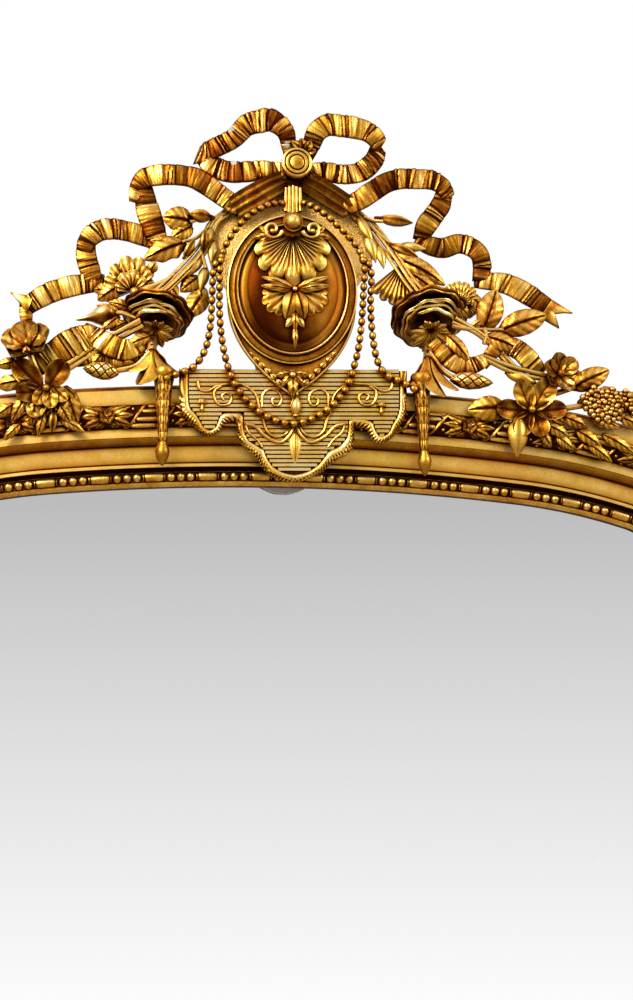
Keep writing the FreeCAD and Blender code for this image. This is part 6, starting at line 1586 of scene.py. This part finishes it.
# Shoulder posies: flowers, leaves and a cluster of berries lying on the torus where the arch turns down.
# Carved as one group each side and pinned through the moulding.
# The last number of each flower shifts its painted shade; below nought it paints the flower lighter, a
# painted highlight.
POSY_FLOWERS = {
    "left": [((27, 343.5, 80), 0.034, (-0.22, -0.85, 0.48), 5, 0.2, 0.6, -0.2)],
    "right": [((561, 373.5, 81), 0.029, (0.2, -1, 0.15), 6, 0.2, 0.5, -0.3)]}
POSY_PETALS = {
    "left": [
        (42, 388, 84, 14, 361, 88, 32, "shaded"), (48, 388, 84, 65, 361, 88, 32, "shaded"),
        (42, 391, 84, 16, 393, 87, 27, "shaded"), (52, 393, 84, 74, 400, 86, 24, "petal"),
        (44, 396, 84, 30, 416, 86, 25, "petal"), (47, 386, 87, 35, 404, 89, 19, "petal"),
        (51, 386, 87, 67, 400, 89, 20, "petal"), (49, 386, 88, 51, 408, 91, 21, "petal")],
    "right": [
        (533, 410, 83, 552, 380, 88, 33, "petal"), (531, 410, 83, 519, 381, 88, 31, "petal"),
        (536, 411, 83, 566, 409, 88, 28, "shaded"), (529, 411, 83, 497, 408, 88, 29, "shaded"),
        (534, 412, 83, 543, 436, 87, 29, "shaded"), (531, 412, 83, 517, 434, 87, 29, "shaded")]}
POSY_HEARTS = {"left": (46, 388, 88), "right": (532, 409.5, 87)}
POSY_LEAVES = {
    "left": [
        (64, 386, 82, 77, 423, 79, 27, "broad"), (37, 396, 81, 32, 425, 78, 19, "broad"),
        (28, 394, 81, 12, 421, 78, 18, "broad"), (32, 380, 80, -7, 386, 78, 26, "lobed"),
        (58, 394, 81, 66, 412, 80, 14, "plain"), (14, 404, 79, -6, 418, 77, 17, "lobed"),
        (58, 402, 83, 71, 424, 81, 16, "plain"), (60, 418, 78, 84, 432, 77, 14, "lobed"),
        (44, 412, 79, 38, 436, 77, 13, "lobed"), (20, 424, 78, 4, 440, 76, 14, "lobed"),
        (18, 362, 80, -4, 366, 80, 17, "plain")],
    "right": [
        (506, 408, 82, 468, 410, 76, 36, "broad"), (519, 416, 83, 517, 457, 80, 29, "slim"),
        (572, 388, 78, 609, 370, 77, 31, "broad"), (545, 424, 81, 569, 437, 78, 20, "lobed"),
        (561, 416, 81, 588, 428, 79, 20, "lobed"), (576, 430, 79, 602, 448, 77, 20, "lobed"),
        (590, 418, 80, 620, 428, 79, 20, "lobed"), (602, 434, 79, 634, 454, 76, 19, "lobed"),
        (616, 416, 80, 644, 428, 78, 18, "lobed"), (540, 430, 80, 551, 447, 77, 15, "lobed"),
        (556, 436, 78, 574, 450, 76, 15, "plain"), (588, 444, 78, 612, 462, 76, 15, "plain"),
        (628, 408, 80, 652, 414, 78, 18, "lobed"), (578, 404, 80, 612, 397, 81, 28, "lobed"),
        (604, 404, 81, 640, 397, 81, 30, "lobed"), (594, 412, 81, 632, 413, 81, 27, "lobed"),
        (588, 400, 80, 616, 389, 81, 22, "lobed"), (622, 400, 81, 652, 402, 80, 26, "lobed")]}
POSY_BUDS = {
    "left": [(54, 408, 80, 52, 432, 79, 7.0), (27, 356, 84, 26, 346, 90, 6.5)],
    "right": [(548, 416, 82, 566, 424, 82, 6.0)]}
POSY_STALKS = {
    "left": [[(41, 380, 74), (33, 362, 75), (27, 347, 75)]],
    "right": [
        [(533, 409, 74), (547, 392, 75), (560, 375, 76)], [(545, 396, 80), (560, 392, 79), (574, 387, 78)],
        [(556, 410, 77), (580, 406, 79), (602, 404, 80), (632, 400, 79)]]}
BERRIES = [
    (586, 398), (594, 392), (602, 397), (611, 394), (590, 407), (599, 406), (608, 404), (617, 401),
    (597, 415), (606, 413), (615, 410), (625, 396), (630, 405)]
POSY_STALK_RADIUS, POSY_HEART_RADIUS = 0.0042, 0.0055
FLORET_RADIUS, BERRY_PLACES = 0.0056, ((0, 0, 0), (4.0, 4.5, 3))
BERRY_FRONT, BERRY_SCATTER, BERRY_TILT = 86.5, 0.8, 0.35
floret = [ball((FLORET_RADIUS * math.cos(t), FLORET_RADIUS * math.sin(t), 0), 0.0047, (0, 0, 1), 8)
          for t in np.arange(0, 6, 2 * math.pi / 4)]
berry = carved_mesh("berry", floret + [ball((0, 0, 0.0022), 0.0036, (0, 0, 1), 8, 0.3)], gilt_carving)
for side in ("left", "right"):
    shapes = leaves(POSY_LEAVES[side]) + buds(POSY_BUDS[side])
    for place, radius, facing, petals, first, cup, dark in POSY_FLOWERS[side]:
        shapes += bloom(spot(*place), facing, radius, petals, cup=cup, lift=0.24, first=first, dark=dark,
                        heart=0.2, stamens=0, fine=2)
    shapes += leaves(POSY_PETALS[side])
    shapes.append(ball(spot(*POSY_HEARTS[side]), POSY_HEART_RADIUS, sides=14, hollow=0.2))
    shapes += [stalk(spots(rows), POSY_STALK_RADIUS, 9, step=0.005) for rows in POSY_STALKS[side]]
    marks = []
    chance = np.random.default_rng(5)
    for c, r in (BERRIES if side == "right" else []):
        for dc, dr, back in BERRY_PLACES:
            column = c + dc + chance.uniform(-BERRY_SCATTER, BERRY_SCATTER)
            row = r + dr + chance.uniform(-BERRY_SCATTER, BERRY_SCATTER)
            along = unit(chance.uniform(-BERRY_TILT, BERRY_TILT, 3) + (1, 0, 0))
            marks.append(("berry", spot(column, row, BERRY_FRONT - back), along, (0, 0, 1)))
    name = "posy_%s_carved" % side
    shown(name, set_out(name, shapes, marks, {"berry": berry}, gilt_carving), "posy_" + side)

# Pearl strings: small pearls threaded on cord, from the bow round the oval and down across the apron.
# Turned beads set close, each with a flat where it meets the next.
STRINGS = [
    [(281, 203, 60), (268, 205, 72), (251, 214, 82), (237, 228, 86), (227, 243, 88), (220.5, 262, 88),
     (219.5, 290, 88), (220, 320, 90), (223, 346, 94), (228, 367, 95.5), (236, 386, 95.5), (250, 404, 95.5),
     (270, 418, 95.5), (292, 424, 95.5), (314, 418, 95.5), (334, 404, 95.5), (347, 387, 95.5),
     (354.5, 365, 95), (359, 345, 94), (362, 318, 90), (363.5, 292, 88), (364.5, 268, 88), (359, 250, 88),
     (345, 233, 86), (327, 216, 82), (314, 207, 72), (304, 203, 60)],
    [(221.5, 257, 88), (216, 263, 86.5), (213, 274, 86), (212, 300, 86), (210.5, 324, 88), (207, 344, 91),
     (201, 358, 94), (192, 368, 94), (180, 373, 94), (167, 378, 94)],
    [(363, 257, 88), (368.5, 264, 86.5), (371.5, 276, 86), (370.5, 300, 86), (371.5, 325, 88),
     (374.5, 349, 91), (379.5, 366, 94), (388, 376, 94), (400, 381, 94), (414, 389, 94)]]
PEARL_PITCH, PEARL_HALF, PEARL_RADIUS, CORD_RADIUS = 0.0125, 0.0063, 0.0051, 0.0016
# Painted shade at each pearl's ends, where it meets the next.
PEARL_HOLLOWS = [1.0, 0.55, 0.28, 0.2, 0.28, 0.55, 1.0]
PEARL_ENDS = ((-PEARL_HALF, 0, 0), (PEARL_HALF, 0, 0))
pearl_round = turned(*PEARL_ENDS, bead_outline(PEARL_RADIUS, 7), 10, hollows=PEARL_HOLLOWS)
pearl = carved_mesh("pearl", [pearl_round], gilt_carving)
shapes, marks = [], []
for rows in STRINGS:
    line = smooth_line(spots(rows), 0.002)
    lengths = run_lengths(line)
    reach = np.linspace(0, lengths[-1], int(lengths[-1] / PEARL_PITCH) + 1)
    places = np.stack([np.interp(reach, lengths, line[:, i]) for i in range(3)], 1)
    for place, way in zip(places, unit(np.gradient(places, axis=0))):
        marks.append(("pearl", place, way, np.cross(FORWARD, way)))
    # The cord between the pearls is in painted shade.
    shapes.append(stalk(places, CORD_RADIUS, 6, hollow=0.9, step=0.02))
strings = set_out("pearl_strings_strung", shapes, marks, {"pearl": pearl}, gilt_carving)
shown("pearl_strings_strung", strings, "pearl_strings")

# Studio: a plain pale floor, soft light from the front and left, and the standpoint of the photograph.
# The room is white low down and grey above, which is what the plate mirrors.
FLOOR_HALF = 5.0
FLOOR_CORNERS = [(x * FLOOR_HALF, y * FLOOR_HALF, 0) for x, y in ((-1, -1), (1, -1), (1, 1), (-1, 1))]
floor_mesh = bpy.data.meshes.new("floor")
floor_mesh.from_pydata(FLOOR_CORNERS, [], [(0, 1, 2, 3)])
finish, tree, shader, place = new_finish("pale_floor")
pale = tones(tree, noise(tree, place, 2.0, 3.0), [(0.3, (0.89, 0.89, 0.89)), (0.7, (0.93, 0.93, 0.93))])
feed(tree, shader, {"Base Color": pale, "Roughness": 0.8})
floor_mesh.materials.append(finish)
floor = bpy.data.objects.new("floor", floor_mesh)
bpy.context.scene.collection.objects.link(floor)

world = bpy.data.worlds.new("studio")
bpy.context.scene.world = world
world.use_nodes = True
tree = world.node_tree
background = tree.nodes["Background"]
way = put(tree, "ShaderNodeSeparateXYZ", {"Vector": put(tree, "ShaderNodeTexCoord").outputs["Generated"]})
height = ranged(tree, way.outputs["Z"], 0.0, 1.0, low=-1.0)
room = tones(tree, height, [
    (0.0, (1, 1, 1)), (0.45, (0.98, 0.98, 0.98)), (0.576, (0.51, 0.51, 0.51)), (0.68, (0.42, 0.42, 0.42)),
    (0.85, (0.85, 0.85, 0.85)), (1.0, (1, 1, 1))])
path = put(tree, "ShaderNodeLightPath")
mirrored = sums(tree, "MAXIMUM", path.outputs["Is Glossy Ray"], path.outputs["Is Transmission Ray"])
seen = put(tree, "ShaderNodeMix", {"Factor": mirrored, "A": (0.4, 0.4, 0.4, 1), "B": room}, data_type="RGBA")
seen = put(tree, "ShaderNodeMix", {
    "Factor": path.outputs["Is Camera Ray"], "A": seen.outputs["Result"], "B": (1, 1, 1, 1)},
    data_type="RGBA")
tree.links.new(seen.outputs["Result"], background.inputs["Color"])

LAMPS = (("key", (-1.6, -2.4, 2.9), (0.0, 0.0, 1.4), 1.3, 21.0),
         ("fill", (2.7, -2.0, 2.7), (0.0, 0.0, 1.2), 1.4, 7.0))
LAMP_SPREAD = math.radians(80)
for name, place, aim, size, power in LAMPS:
    lamp = bpy.data.lights.new(name, "AREA")
    lamp.size, lamp.energy, lamp.spread = size, power, LAMP_SPREAD
    holder = bpy.data.objects.new(name, lamp)
    holder.location = place
    ahead = unit(np.array(aim) - np.array(place))
    holder.rotation_euler = (math.acos(-ahead[2]), 0, math.atan2(ahead[1], ahead[0]) - math.pi / 2)
    bpy.context.scene.collection.objects.link(holder)

SENSOR_HEIGHT, LENS = 36.0, 68.4
camera_data = bpy.data.cameras.new("standpoint")
camera_data.sensor_fit = "VERTICAL"
camera_data.sensor_height, camera_data.lens = SENSOR_HEIGHT, LENS
camera = bpy.data.objects.new("standpoint", camera_data)
camera.location = STANDPOINT
camera.rotation_euler = (math.pi / 2 + VIEW_PITCH, 0, -VIEW_YAW)
bpy.context.scene.collection.objects.link(camera)
bpy.context.scene.camera = camera
bpy.context.scene.view_settings.view_transform = "Standard"
